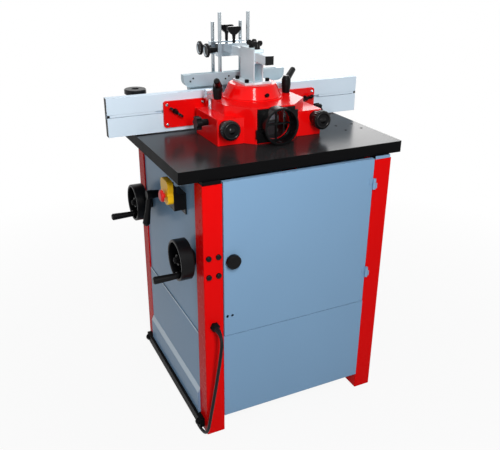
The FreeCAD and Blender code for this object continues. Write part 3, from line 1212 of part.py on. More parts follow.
def fence_carrier():
    """Left carrier: plate behind the fence with the guide bar that runs in the ear."""
    x0, x1 = SPINDLE_X - CARRIER_OUT, SPINDLE_X - CARRIER_IN
    back = FENCE_BACK - SLIDING - CARRIER_THICKNESS
    plate = box(x0, x1, back, back + CARRIER_THICKNESS, CARRIER_FOOT, CARRIER_TOP)
    plate = soften(plate, CARRIER_CORNER,
                   lambda e: abs(e.firstVertex().Point.y - e.lastVertex().Point.y) > CARRIER_THICKNESS / 2)
    plate = plate.cut(rod(V(SPINDLE_X - WING_OFFSET, back, FENCE_SLOT_Z), Y_AXIS, WING_STUD + RUNNING,
                          CARRIER_THICKNESS))
    x = SPINDLE_X - GUIDE_OFFSET
    bar = box(x - GUIDE_WIDTH / 2, x + GUIDE_WIDTH / 2, GUIDE_FRONT, back,
              GUIDE_Z - GUIDE_HEIGHT / 2, GUIDE_Z + GUIDE_HEIGHT / 2)
    nut = rod(V(x, GUIDE_FRONT, GUIDE_Z), Y_AXIS, FINE_SCREW + RUNNING,
              FINE_SCREW_END + CARRIER_BACK_TRAVEL + CARRIER_THICKNESS - GUIDE_FRONT)
    screws = []
    for sx in (x0 + CARRIER_SCREW_INSET, x1 - CARRIER_SCREW_INSET):
        for sz in (CARRIER_FOOT + CARRIER_SCREW_INSET, CARRIER_TOP - CARRIER_SCREW_INSET):
            screws.append(rod(V(sx, back - 1, sz), Y_AXIS, WING_STUD, CARRIER_THICKNESS))
    return fuse(plate, bar.cut(nut), *screws)


def fine_knob():
    """Left fine-adjusting knob: scale barrel, knob face and screw, along +Y into the ear."""
    x = SPINDLE_X - GUIDE_OFFSET
    face = EAR_FRONT - SLIDING
    barrel = FINE_LENGTH - FINE_FACE
    knob = turned([(0, 0), (FINE_BARREL, 0), (FINE_BARREL + 3, barrel), (FINE_RADIUS, barrel),
                   (FINE_RADIUS, FINE_LENGTH - 3), (FINE_RADIUS - 3, FINE_LENGTH), (0, FINE_LENGTH)],
                  V(x, face, GUIDE_Z), -Y_AXIS)
    screw = rod(V(x, face, GUIDE_Z), Y_AXIS, FINE_SCREW, FINE_SCREW_END - face)
    return fuse(knob, screw)


def star_knob():
    """Left star knob on the ear's outer side, pressing on the guide bar."""
    place = V(SPINDLE_X - EAR_OUT - SLIDING, STAR_Y, STAR_Z)
    neck = turned([(0, 0), (STAR_RADIUS * 0.45, 0), (STAR_RADIUS * 0.55, STAR_NECK), (0, STAR_NECK)],
                  V(0, 0, 0), Z_AXIS)
    head = rod(V(0, 0, STAR_NECK), Z_AXIS, STAR_RADIUS, STAR_HEIGHT)
    for index in range(STAR_LOBES):
        angle = 2 * math.pi * index / STAR_LOBES
        away = V(math.cos(angle), math.sin(angle), 0) * STAR_RADIUS * 1.12
        head = head.cut(rod(away + V(0, 0, STAR_NECK), Z_AXIS, STAR_RADIUS * 0.36, STAR_HEIGHT))
    reach = EAR_OUT - GUIDE_OFFSET - GUIDE_WIDTH / 2
    stud = rod(V(0, 0, -reach), Z_AXIS, STAR_STUD, reach)
    return point_along(fuse(neck, head, stud), place, -X_AXIS)


def fence_plate():
    """Left fence plate with the clamping groove in its back and a bevel at the cutter."""
    x0 = SPINDLE_X - FENCE_GAP - FENCE_LENGTH
    x1 = SPINDLE_X - FENCE_GAP
    top = FENCE_FOOT + FENCE_HEIGHT
    front = FENCE_BACK + FENCE_THICKNESS
    plan = [(x0, FENCE_BACK), (x0, front), (x1, front), (x1 - FENCE_BEVEL, FENCE_BACK)]
    plate = flat(plan, FENCE_FOOT, top)
    neck = box(x0, x1, FENCE_BACK, FENCE_BACK + FENCE_SLOT_DEPTH, FENCE_SLOT_Z - FENCE_SLOT / 2,
               FENCE_SLOT_Z + FENCE_SLOT / 2)
    wide = box(x0, x1, FENCE_BACK + FENCE_SLOT_LIP, FENCE_BACK + FENCE_SLOT_DEPTH,
               FENCE_SLOT_Z - FENCE_SLOT_WIDE / 2, FENCE_SLOT_Z + FENCE_SLOT_WIDE / 2)
    return plate.cut(fuse(neck, wide))


def wing_knob(turn):
    """Left wing knob on the carrier, with a round head in the fence's groove."""
    back = FENCE_BACK - SLIDING - CARRIER_THICKNESS - SLIDING
    place = V(SPINDLE_X - WING_OFFSET, back, FENCE_SLOT_Z)
    reach = FENCE_BACK + FENCE_SLOT_LIP + SLIDING - back
    head = rod(place + V(0, reach, 0), Y_AXIS, FENCE_SLOT_WIDE / 2 - 1, FENCE_SLOT_LIP)
    return fuse(wing_screw(place, -Y_AXIS, turn, reach, WING_SPAN), head)


# Pressure device


def pressure_arm():
    x0, x1 = SPINDLE_X - ARM_SIDE / 2, SPINDLE_X + ARM_SIDE / 2
    tube = box(x0, x1, ARM_NEAR, ARM_FAR, ARM_FOOT, ARM_FOOT + ARM_SIDE)
    hollow = box(x0 + ARM_WALL, x1 - ARM_WALL, ARM_NEAR, ARM_FAR, ARM_FOOT + ARM_WALL,
                 ARM_FOOT + ARM_SIDE - ARM_WALL)
    caps = [box(x0, x1, y, y + ARM_CAP, ARM_FOOT, ARM_FOOT + ARM_SIDE)
            for y in (ARM_NEAR - ARM_CAP, ARM_FAR)]
    return [tube.cut(hollow)] + caps


def rod_places():
    return (SPINDLE_X - ROD_SPACING / 2, SPINDLE_X + ROD_SPACING / 2)


def pressure_heads():
    """Two cross heads on the arm, bored for a pair of rods each."""
    heads = []
    for y in (NEAR_HEAD_Y, FAR_HEAD_Y):
        half = ARM_SIDE / 2
        head = box(SPINDLE_X - HEAD_LENGTH / 2, SPINDLE_X + HEAD_LENGTH / 2, y - HEAD_DEPTH / 2,
                   y + HEAD_DEPTH / 2, HEAD_FOOT, HEAD_FOOT + HEAD_HEIGHT)
        head = head.cut(box(SPINDLE_X - half, SPINDLE_X + half, y - HEAD_DEPTH / 2, y + HEAD_DEPTH / 2,
                            ARM_FOOT, ARM_FOOT + ARM_SIDE))
        for x in rod_places():
            head = head.cut(rod(V(x, y, HEAD_FOOT), Z_AXIS, ROD_RADIUS + RUNNING, HEAD_HEIGHT))
        head = head.cut(rod(V(SPINDLE_X, y, ARM_MIDDLE), Z_AXIS, TEE_STEM + RUNNING, HEAD_HEIGHT))
        end = V(SPINDLE_X - HEAD_LENGTH / 2, y, ARM_MIDDLE)
        head = head.cut(rod(end, X_AXIS, TEE_STEM + RUNNING, (HEAD_LENGTH - ROD_SPACING) / 2))
        heads.append(head)
    return heads


def arm_screw(y):
    """Wing screw in the top of the column that holds the arm."""
    place = V(SPINDLE_X, y, COLUMN_TOP + SLIDING)
    return wing_screw(place, Z_AXIS, ARM_SCREW_TURN, COLUMN_TOP - ARM_FOOT - ARM_SIDE - SLIDING,
                      ARM_SCREW_SPAN)


def tee_knob(y):
    """Tee screw in the top of a head that holds the head on the arm."""
    top = HEAD_FOOT + HEAD_HEIGHT + SLIDING
    foot = ARM_FOOT + ARM_SIDE + SLIDING
    stem = rod(V(SPINDLE_X, y, foot), Z_AXIS, TEE_STEM, top + TEE_HEIGHT - foot)
    hub = turned([(0, 0), (TEE_STEM * 1.3, 0), (TEE_STEM * 1.3, TEE_HEIGHT * 0.35),
                  (TEE_BAR, TEE_HEIGHT * 0.55), (TEE_BAR * 1.3, TEE_HEIGHT), (0, TEE_HEIGHT)],
                 V(SPINDLE_X, y, top), Z_AXIS)
    crown = top + TEE_HEIGHT
    half = TEE_SPAN / 2
    front = y - TEE_BAR * 0.9
    root = crown - TEE_HEIGHT * 0.5
    outline = [(half, crown - TEE_BAR * 1.5), (half, crown - TEE_BAR * 0.3), (half * 0.8, crown)]
    right = [V(SPINDLE_X + x, front, z) for x, z in [(TEE_BAR, root)] + outline]
    left = [V(2 * SPINDLE_X - point.x, point.y, point.z) for point in reversed(right)]
    bar = prism(right + left, V(0, TEE_BAR * 1.8, 0))
    return fuse(stem, hub, bar)


def disc_knob(y):
    """Disc knob at the end of a head that holds its rods."""
    end = SPINDLE_X - HEAD_LENGTH / 2
    reach = (HEAD_LENGTH - ROD_SPACING) / 2 - ROD_RADIUS
    face = DISC_NECK + DISC_THICKNESS
    knob = turned([(0, 0), (TEE_BAR, 0), (TEE_BAR * 1.6, DISC_NECK), (DISC_RADIUS - 2, DISC_NECK),
                   (DISC_RADIUS, DISC_NECK + 2), (DISC_RADIUS, face - 2),
                   (DISC_RADIUS - 2, face), (DISC_RADIUS - 5, face),
                   (DISC_RADIUS - 5 - DISC_DISH, face - DISC_DISH), (0, face - DISC_DISH)],
                  V(end - SLIDING, y, ARM_MIDDLE), -X_AXIS)
    stud = rod(V(end - SLIDING, y, ARM_MIDDLE), X_AXIS, TEE_STEM, reach)
    return fuse(knob, stud)


def shoe(y, length, foot, rod_top):
    """Pressure shoe: a channel with sledge-like ends, hung on two rods."""
    half = length / 2
    top = foot + SHOE_HEIGHT
    y0 = y - SHOE_DEPTH / 2
    body = box(SPINDLE_X - half, SPINDLE_X + half, y0, y0 + SHOE_DEPTH, foot, top)

    def is_nose(edge):
        start, end = edge.firstVertex().Point, edge.lastVertex().Point
        return abs(start.y - end.y) > SHOE_DEPTH / 2 and start.z < foot + 1

    body = soften(body, SHOE_NOSE, is_nose)
    wall = SHOE_WALL
    trough = box(SPINDLE_X - half + SHOE_NOSE, SPINDLE_X + half - SHOE_NOSE,
                 y0 + wall, y0 + SHOE_DEPTH - wall, foot + wall * 2, top)
    for x in rod_places():
        trough = trough.cut(box(x - 2 * ROD_RADIUS, x + 2 * ROD_RADIUS, y0, y0 + SHOE_DEPTH, foot, top))
    rods = [rod(V(x, y, top - wall), Z_AXIS, ROD_RADIUS, rod_top - top + wall) for x in rod_places()]
    return fuse(body.cut(trough), *rods)


# Door


def hinge_place(z):
    return V(HINGE_X, HINGE_Y, z)


def door():
    leaf = pan(DOOR_LEFT, DOOR_RIGHT, DOOR_SEAM, DOOR_TOP, NEAR, 1)
    leaf = leaf.cut(rod(V(LATCH_X, NEAR, LATCH_Z), Y_AXIS, LATCH_SHAFT + RUNNING, SHEET))
    for inset in VENT_INSETS:
        place = V(DOOR_LEFT + inset, NEAR, DOOR_SEAM + VENT_RISE)
        leaf = leaf.cut(rod(place, Y_AXIS, VENT_RADIUS, SHEET))
    half = HINGE_HEIGHT / 2
    for z in HINGE_HEIGHTS:
        place = hinge_place(z + half + SLIDING)
        barrel = rod(place, Z_AXIS, HINGE_RADIUS, half - SLIDING)
        strap = box(DOOR_RIGHT - HINGE_LEAF, HINGE_X, NEAR - SHEET, NEAR, place.z, z + HINGE_HEIGHT)
        bore = rod(place, Z_AXIS, HINGE_PIN + RUNNING, half)
        leaf = fuse(leaf, fuse(barrel, strap).cut(bore))
    return leaf


def door_hinges():
    """Fixed halves of the hinges on the post, each with its pin."""
    pieces = []
    half = HINGE_HEIGHT / 2
    for z in HINGE_HEIGHTS:
        place = hinge_place(z)
        barrel = rod(place, Z_AXIS, HINGE_RADIUS, half)
        leaf = box(HINGE_X, HINGE_X + HINGE_LEAF, NEAR - SHEET, NEAR, z, z + half)
        pin = rod(place, Z_AXIS, HINGE_PIN, HINGE_HEIGHT)
        pieces.append(fuse(barrel, leaf, pin))
    return pieces


def door_latch():
    """Round turning knob on the door, its shaft and the cam behind, standing upright."""
    place = V(LATCH_X, NEAR - SLIDING, LATCH_Z)
    knob = turned([(0, 0), (LATCH_RADIUS * 0.8, 0), (LATCH_RADIUS, LATCH_HEIGHT * 0.3),
                   (LATCH_RADIUS, LATCH_HEIGHT * 0.8), (LATCH_RADIUS * 0.85, LATCH_HEIGHT),
                   (0, LATCH_HEIGHT)], place, -Y_AXIS)
    shaft = rod(place, Y_AXIS, LATCH_SHAFT, CAM_SETBACK + CAM_THICKNESS + SLIDING)
    y0 = NEAR + CAM_SETBACK
    cam = box(LATCH_X - CAM_WIDTH / 2, LATCH_X + CAM_WIDTH / 2, y0, y0 + CAM_THICKNESS,
              LATCH_Z - CAM_WIDTH / 2, LATCH_Z + CAM_LENGTH)
    return fuse(knob, shaft, cam)


# Switch


def switch_box():
    """Box with its back plate, and the two ears and the pin that carry the lid."""
    y0, y1 = SWITCH_Y - SWITCH_WIDTH / 2, SWITCH_Y + SWITCH_WIDTH / 2
    x0 = LEFT - SWITCH_DEPTH
    body_top = SWITCH_FOOT + SWITCH_BODY
    body = box(x0, CONTROL_FACE, y0, y1, SWITCH_FOOT, body_top)
    face = box(x0, x0 + SWITCH_FACE, y0, y1, SWITCH_FOOT, SWITCH_TOP)
    plate = box(CONTROL_FACE - CONTROL_INSET, CONTROL_FACE, y0, y1, SWITCH_FOOT - SWITCH_PLATE, body_top)
    half = SWITCH_WIDTH / 4
    ears = [box(LID_HINGE_X - LID_HINGE, x0 + 2 * LID_HINGE, y, y + LID_HINGE, SWITCH_TOP - LID_HINGE,
                LID_HINGE_Z + LID_HINGE) for y in (SWITCH_Y - half - LID_HINGE, SWITCH_Y + half)]
    pin = rod(V(LID_HINGE_X, SWITCH_Y - half - LID_HINGE, LID_HINGE_Z), Y_AXIS, LID_HINGE / 2,
              2 * half + 2 * LID_HINGE)
    return fuse(body, face, plate, *ears, pin)


def switch_lid():
    """Notched cover hinged at its top, with a guide for the stop button."""
    y0, y1 = SWITCH_Y - SWITCH_WIDTH / 2, SWITCH_Y + SWITCH_WIDTH / 2
    front = LID_BACK - LID_DEPTH
    cover = box(front, LID_BACK, y0, y1, LID_FOOT, LID_TOP)

    def is_corner(edge):
        return abs(edge.firstVertex().Point.x - edge.lastVertex().Point.x) > LID_DEPTH / 2

    cover = soften(cover, LID_CORNER, is_corner)
    middle = (LID_FOOT + LID_TOP) / 2
    hollow = cover.copy()
    hollow.scale((SWITCH_WIDTH - 2 * LID_WALL) / SWITCH_WIDTH, V(LID_BACK, SWITCH_Y, middle))
    hollow.translate(V(LID_WALL, 0, 0))
    notch_out = LID_NOTCH * 0.7
    for y, z in ((y0 - notch_out, middle), (y1 + notch_out, middle), (SWITCH_Y, LID_FOOT - notch_out)):
        cover = cover.cut(rod(V(front, y, z), X_AXIS, LID_NOTCH, LID_DEPTH))
        hollow = hollow.cut(rod(V(front, y, z), X_AXIS, LID_NOTCH + LID_WALL, LID_DEPTH + LID_WALL))
    half = SWITCH_WIDTH / 4 - SLIDING
    block = box(front, LID_BACK, SWITCH_Y - half, SWITCH_Y + half, LID_HINGE_Z - 2 * LID_HINGE, LID_TOP)
    gap = 2 * SLIDING + LID_HINGE
    ear_ways = [box(front + LID_WALL, LID_BACK, y, y + gap, LID_FOOT, LID_TOP)
                for y in (SWITCH_Y - half - gap, SWITCH_Y + half)]
    lid = fuse(cover.cut(hollow), block)
    for way in ear_ways:
        lid = lid.cut(way)
    pin = rod(V(LID_HINGE_X, SWITCH_Y - half - gap, LID_HINGE_Z), Y_AXIS, LID_HINGE / 2 + RUNNING,
              2 * half + 2 * gap)
    stem = rod(V(front, SWITCH_Y, STOP_Z), X_AXIS, STOP_STEM + RUNNING, LID_DEPTH)
    return lid.cut(pin).cut(stem)


def stop_button():
    """Mushroom-headed stop button that slides in the lid, with a collar behind the lid's wall."""
    front = LID_BACK - LID_DEPTH
    head_back = STOP_TRAVEL + SLIDING
    collar = -2 * LID_WALL
    tail = collar - 2 * LID_HINGE
    return turned([(0, tail), (STOP_STEM + STOP_COLLAR, tail), (STOP_STEM + STOP_COLLAR, collar),
                   (STOP_STEM, collar), (STOP_STEM, head_back),
                   (STOP_RADIUS, head_back + STOP_HEAD * 0.2), (STOP_RADIUS, head_back + STOP_HEAD * 0.6),
                   (STOP_RADIUS * 0.7, head_back + STOP_HEAD), (0, head_back + STOP_HEAD)],
                  V(front, SWITCH_Y, STOP_Z), -X_AXIS)


# Mitre gauge


def mitre_gauge():
    """Bar in the table's slot, half-round head and pillar with a pierced disc knob."""
    half = GAUGE_SLOT_WIDTH / 2 - SLIDING
    bar = box(GAUGE_X - GAUGE_BAR / 2, GAUGE_X + GAUGE_BAR / 2, GAUGE_SLOT_Y - half, GAUGE_SLOT_Y + half,
              TABLE_TOP - GAUGE_SLOT_DEPTH + SLIDING, TABLE_TOP + SLIDING)
    foot = TABLE_TOP + SLIDING
    head = rod(V(GAUGE_X, GAUGE_SLOT_Y, foot), Z_AXIS, GAUGE_HEAD, GAUGE_PLATE)
    head = head.cut(box(GAUGE_X + GAUGE_HEAD / 3, GAUGE_X + GAUGE_HEAD, GAUGE_SLOT_Y - GAUGE_HEAD,
                        GAUGE_SLOT_Y + GAUGE_HEAD, foot, foot + GAUGE_PLATE))
    face_x = GAUGE_X + GAUGE_HEAD / 3
    face = box(face_x - GAUGE_PLATE, face_x, GAUGE_SLOT_Y - GAUGE_HEAD, GAUGE_SLOT_Y + GAUGE_HEAD,
               foot, foot + 5 * GAUGE_PLATE)
    post = rod(V(GAUGE_X, GAUGE_SLOT_Y, foot), Z_AXIS, GAUGE_POST, GAUGE_DISC_Z - foot)
    edge = GAUGE_DISC_HEIGHT / 8
    disc = turned([(0, 0), (GAUGE_DISC - edge, 0), (GAUGE_DISC, edge),
                   (GAUGE_DISC, GAUGE_DISC_HEIGHT - edge), (GAUGE_DISC - edge, GAUGE_DISC_HEIGHT),
                   (GAUGE_DISC_HOLE, GAUGE_DISC_HEIGHT),
                   (GAUGE_DISC_HOLE, GAUGE_DISC_HEIGHT / 2), (0, GAUGE_DISC_HEIGHT / 2)],
                  V(GAUGE_X, GAUGE_SLOT_Y, GAUGE_DISC_Z), Z_AXIS)
    return fuse(bar, head, face, post, disc)


# Mains cord


def cord_points():
    return [V(LEFT + x, NEAR + y, z) for x, y, z in CORD_ROUTE]


def cable_gland():
    start = cord_points()[0]
    place = V(start.x, NEAR, start.z)
    angles = [math.radians(60 * corner) for corner in range(6)]
    hexagon = [V(GLAND_NUT * math.cos(angle), GLAND_NUT * math.sin(angle), 0) for angle in angles]
    nut = point_along(prism(hexagon, V(0, 0, GLAND_NUT_LENGTH)), place, -Y_AXIS)
    sleeve = turned([(0, 0), (GLAND_NUT * 0.8, 0), (GLAND_NUT * 0.8, GLAND_NUT_LENGTH),
                     (CORD_RADIUS + 2, GLAND_LENGTH), (0, GLAND_LENGTH)], place, -Y_AXIS)
    return fuse(nut, sleeve)


def rounded_path(points):
    """Straight runs joined by tangent arcs, as large as the runs allow, and the arcs' radii."""
    edges, radii = [], []
    at = points[0]
    for before, corner, after in zip(points, points[1:], points[2:]):
        arriving = (corner - before).normalize()
        leaving = (after - corner).normalize()
        turn = arriving.getAngle(leaving)
        tangent = 0.45 * min((corner - before).Length, (after - corner).Length)
        radius = tangent / math.tan(turn / 2)
        start, end = corner - arriving * tangent, corner + leaving * tangent
        inward = (leaving - arriving).normalize()
        middle = corner + inward * (radius / math.cos(turn / 2) - radius)
        edges.append(Part.LineSegment(at, start).toShape())
        edges.append(Part.Arc(start, middle, end).toShape())
        radii.append(radius)
        at = end
    edges.append(Part.LineSegment(at, points[-1]).toShape())
    return edges, radii


def tube_along(edges, start, heading, radius):
    profile = Part.Wire(Part.makeCircle(radius, start, heading))
    return Part.Wire(edges).makePipeShell([profile], True, False)


def mains_cord():
    points = cord_points()
    edges, radii = rounded_path(points)
    tube = tube_along(edges, points[0], points[1] - points[0], CORD_RADIUS)
    length = sum(edge.Length for edge in edges)
    print("cord radii", [round(radius, 1) for radius in radii])
    print("cord length", round(length, 1), "volume share",
          round(tube.Volume / (math.pi * CORD_RADIUS ** 2 * length), 5))
    return tube


def coil_start():
    """Where the coil's first turn begins, and the direction in the plane of the floor."""
    before, end = cord_points()[-2:]
    way = (end - before).normalize()
    return end + way * 2 * CORD_RADIUS, math.atan2(way.y, way.x)


def coil_point(turns):
    """Middle of the cord after so many turns: in on the floor, up, and out again on top."""
    reverse = COIL_TURNS
    climb = 0.5
    if turns <= reverse:
        inset, rise = turns * COIL_STEP, 0
    elif turns <= reverse + climb:
        share = (turns - reverse) / climb
        inset, rise = reverse * COIL_STEP, COIL_LAYER * (3 - 2 * share) * share ** 2
    else:
        inset, rise = (2 * reverse + climb - turns) * COIL_STEP, COIL_LAYER
    start, heading = coil_start()
    first = heading - math.atan2(COIL_STEP, 2 * math.pi * COIL_RADIUS) - math.pi / 2
    angle = first + 2 * math.pi * turns
    reach = COIL_RADIUS - inset
    across = reach * math.cos(angle) - COIL_RADIUS * math.cos(first)
    along = reach * math.sin(angle) - COIL_RADIUS * math.sin(first)
    return start + V(across, along, rise)


def biarc(start, start_way, end, end_way):
    """Two tangent arcs between two points with given headings."""
    gap = end - start
    both = start_way + end_way
    spread = 2 * (1 - start_way.dot(end_way))
    along = gap.dot(both)
    reach = (-along + math.sqrt(along ** 2 + spread * gap.dot(gap))) / spread
    first, second = start + start_way * reach, end - end_way * reach
    join = (first + second) * 0.5
    edges = []
    for a, corner, b in ((start, first, join), (join, second, end)):
        middle = (a + b) * 0.5
        half = (b - a).Length / 2
        lift = (corner - middle).Length
        bulge = half * math.tan(math.atan2(lift, half) / 2)
        edges.append(Part.Arc(a, middle + (corner - middle).normalize() * bulge, b).toShape())
    return edges


def coil_path():
    """Straight lead-in, the turns as biarcs of a quarter turn, and a straight end."""
    total = 2 * COIL_TURNS + 0.5
    steps = round(total * 4)
    small = 1e-4

    def heading(turns):
        return (coil_point(min(turns + small, total)) - coil_point(max(turns - small, 0))).normalize()

    edges = []
    start = coil_point(0)
    first = heading(0)
    lead = 2 * CORD_RADIUS
    edges.append(Part.LineSegment(start - first * lead, start).toShape())
    for index in range(steps):
        a, b = total * index / steps, total * (index + 1) / steps
        edges += biarc(coil_point(a), heading(a), coil_point(b), heading(b))
    last = heading(total)
    edges.append(Part.LineSegment(coil_point(total), coil_point(total) + last * lead).toShape())
    return edges, first, last


def cord_coil():
    edges, first, last = coil_path()
    start = edges[0].firstVertex().Point
    tube = tube_along(edges, start, first, CORD_RADIUS)
    length = sum(edge.Length for edge in edges)
    samples = []
    for edge in edges:
        samples += edge.discretize(12)[:-1]
    gap = min((samples[i] - samples[j]).Length for i in range(len(samples))
              for j in range(i + 40, len(samples))) - 2 * CORD_RADIUS
    print("coil length", round(length, 1), "least gap", round(gap, 2),
          "volume share", round(tube.Volume / (math.pi * CORD_RADIUS ** 2 * length), 5))
    return tube


def mains_plug():
    edges, first, last = coil_path()
    place = edges[-1].lastVertex().Point
    body = turned([(0, 0), (CORD_RADIUS + 2, 0), (CORD_RADIUS + 3, PLUG_TAIL),
                   (PLUG_RADIUS - 3, PLUG_TAIL + 4), (PLUG_RADIUS, PLUG_TAIL + 10),
                   (PLUG_RADIUS, PLUG_TAIL + PLUG_LENGTH), (0, PLUG_TAIL + PLUG_LENGTH)],
                  V(0, 0, 0), Z_AXIS)
    pins = [rod(V(x, 0, PLUG_TAIL + PLUG_LENGTH), Z_AXIS, PLUG_PIN, PLUG_PIN_LENGTH)
            for x in (-PLUG_PIN_SPACING / 2, PLUG_PIN_SPACING / 2)]
    return point_along(fuse(body, *pins), place, last)


# All the pieces

CORD_NODES = ("mains_cord", "cord_coil", "mains_plug")


def make_nodes():
    """Every node's solids by its name."""
    left_clamp, right_clamp = clamp_places()
    nodes = {
        "corner_posts": corner_posts(),
        "control_panel_upper": control_panel_upper(),
        "control_panel_lower": control_panel_lower(),
        "cabinet_panels": cabinet_panels(),
        "frame_fittings": frame_fittings(),
        "table": table(),
        "table_ring": table_ring(),
        "quill_housing": quill_housing(),
        "drive_frame": drive_frame(),
        "switch_box": switch_box(),
        "drive_belt": drive_belt(),
        "mains_cord": mains_cord(),
        "cord_coil": cord_coil(),
        "mains_plug": mains_plug(),
        "door": door(),
        "door_latch": door_latch(),
        "height_wheel": height_wheel(),
        "height_grip": wheel_grip(HEIGHT_WHEEL_Y, HEIGHT_WHEEL_Z, HEIGHT_WHEEL_REACH, HEIGHT_GRIP_ANGLE),
        "lift_screw": lift_screw(),
        "quill": quill(),
        "quill_bearings": quill_bearings(),
        "spindle": spindle(),
        "spindle_rings": spindle_rings(),
        "spindle_pulley": spindle_pulley(),
        "lock_lever": lock_lever(),
        "tension_wheel": tension_wheel(),
        "tension_grip": wheel_grip(TENSION_WHEEL_Y, TENSION_WHEEL_Z, TENSION_WHEEL_REACH,
                                   TENSION_GRIP_ANGLE),
        "motor_plate": motor_plate(),
        "motor": motor(),
        "motor_pulley": motor_pulley(),
        "hood": hood(),
        "dust_port": dust_port(),
        "column": column(),
        "hood_bolts": hood_bolts(),
        "guard_post": guard_post(),
        "clamp_lever_left": clamp_lever(left_clamp, LEFT_ARM_HEADING),
        "clamp_lever_right": clamp_lever(right_clamp, RIGHT_ARM_HEADING),
        "fence_carrier_left": fence_carrier(),
        "fence_carrier_right": mirrored(fence_carrier()),
        "fine_knob_left": fine_knob(),
        "fine_knob_right": mirrored(fine_knob()),
        "star_knob_left": star_knob(),
        "star_knob_right": mirrored(star_knob()),
        "fence_plate_left": fence_plate(),
        "fence_plate_right": mirrored(fence_plate()),
        "wing_knob_left": wing_knob(LEFT_WING_TURN),
        "wing_knob_right": mirrored(wing_knob(RIGHT_WING_TURN)),
        "pressure_arm": pressure_arm(),
        "pressure_heads": pressure_heads(),
        "arm_screw_far": arm_screw(ARM_SCREW_Y[0]),
        "arm_screw_near": arm_screw(ARM_SCREW_Y[1]),
        "tee_knob_near": tee_knob(NEAR_HEAD_Y),
        "tee_knob_far": tee_knob(FAR_HEAD_Y),
        "disc_knob_near": disc_knob(NEAR_HEAD_Y),
        "disc_knob_far": disc_knob(FAR_HEAD_Y),
        "top_shoe": shoe(NEAR_HEAD_Y, TOP_SHOE_LENGTH, NEAR_SHOE_FOOT, NEAR_ROD_TOP),
        "side_shoe": shoe(FAR_HEAD_Y, SIDE_SHOE_LENGTH, FAR_SHOE_FOOT, FAR_ROD_TOP),
        "switch_lid": switch_lid(),
        "stop_button": stop_button(),
        "mitre_gauge": mitre_gauge(),
    }
    return {name: solids if isinstance(solids, list) else [solids] for name, solids in nodes.items()}


def floor_middle(nodes):
    """Point on the floor under the middle of the machine, its loose cord left out."""
    solids = [solid for name, group in nodes.items() if name not in CORD_NODES for solid in group]
    limits = [solid.optimalBoundingBox(False, False) for solid in solids]
    x = min(b.XMin for b in limits) + max(b.XMax for b in limits)
    y = min(b.YMin for b in limits) + max(b.YMax for b in limits)
    return V(x / 2, y / 2, 0)


def main():
    os.makedirs("parts", exist_ok=True)
    nodes = make_nodes()
    middle = floor_middle(nodes)
    print("origin in the cabinet's frame", round(middle.x, 3), round(middle.y, 3))
    for name, solids in nodes.items():
        shape = solids[0] if len(solids) == 1 else Part.makeCompound(solids)
        shape.translate(-middle)
        shape.exportStep(os.path.join("parts", name + ".step"))


if __name__ == "__main__":
    main()
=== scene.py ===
# %% [markdown]
# # A spindle moulder, dressed for the camera
#
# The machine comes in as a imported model: sixty solids that already have the right size, place and joints. This lesson
# gives them their finishes, adds the small parts that are too fine for the solids, and lights the result. Everything
# is in metres, z is up, the door faces -y and the control side faces -x.

import math

import bmesh
import bpy
from mathutils import Matrix, Vector


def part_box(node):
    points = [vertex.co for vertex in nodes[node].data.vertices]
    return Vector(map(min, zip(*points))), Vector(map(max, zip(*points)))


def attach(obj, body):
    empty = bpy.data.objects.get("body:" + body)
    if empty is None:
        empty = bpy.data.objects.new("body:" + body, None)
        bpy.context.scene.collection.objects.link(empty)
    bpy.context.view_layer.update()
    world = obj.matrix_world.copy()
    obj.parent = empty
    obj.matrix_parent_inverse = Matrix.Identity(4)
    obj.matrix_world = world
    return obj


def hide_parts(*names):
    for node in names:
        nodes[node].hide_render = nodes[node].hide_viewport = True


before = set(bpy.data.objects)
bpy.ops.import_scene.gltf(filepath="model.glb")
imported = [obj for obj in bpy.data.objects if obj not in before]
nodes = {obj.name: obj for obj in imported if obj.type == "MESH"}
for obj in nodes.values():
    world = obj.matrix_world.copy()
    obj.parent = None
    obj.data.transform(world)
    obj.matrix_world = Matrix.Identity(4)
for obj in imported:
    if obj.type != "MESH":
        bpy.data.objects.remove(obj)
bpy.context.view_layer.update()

# %% [markdown]
# ## Camera
#
# The photograph was taken from the door side, a little to the left and well above the table. A camera can be aimed by
# eye, but on a square cabinet every degree shows in the slope of its edges. So azimuth, height angle, roll and focal
# length were found by matching the straight edges, and here they are only written down. A camera looks along its own
# -z, so its matrix has the right, up and backward directions as columns.

# %% Camera
PICTURE_WIDTH = 500
FOCAL_PIXELS = 630.17
SENSOR_WIDTH = 36.0
CAMERA_PLACE = Vector((-0.8750, -1.7688, 1.4346))
CAMERA_AZIMUTH, CAMERA_HEIGHT, CAMERA_ROLL = (math.radians(a) for a in (-25.964, 23.934, 0.495))


def into_scene(name, data):
    """Make an object of its data and link it to the scene."""
    made = bpy.data.objects.new(name, data)
    bpy.context.scene.collection.objects.link(made)
    return made


camera_data = bpy.data.cameras.new("photo_camera")
camera_data.sensor_fit = "HORIZONTAL"
camera_data.sensor_width = SENSOR_WIDTH
camera_data.lens = SENSOR_WIDTH * FOCAL_PIXELS / PICTURE_WIDTH
camera = into_scene("photo_camera", camera_data)
backward = Vector((math.sin(CAMERA_AZIMUTH) * math.cos(CAMERA_HEIGHT),
                   -math.cos(CAMERA_AZIMUTH) * math.cos(CAMERA_HEIGHT), math.sin(CAMERA_HEIGHT)))
level_right = Vector((0, 0, 1)).cross(backward).normalized()
level_up = backward.cross(level_right)
right = level_right * math.cos(CAMERA_ROLL) + level_up * math.sin(CAMERA_ROLL)
up = level_up * math.cos(CAMERA_ROLL) - level_right * math.sin(CAMERA_ROLL)
camera.matrix_world = Matrix.Translation(CAMERA_PLACE) @ Matrix((right, up, backward)).transposed().to_4x4()
bpy.context.scene.camera = camera
print("lens", round(camera_data.lens, 2), "mm")

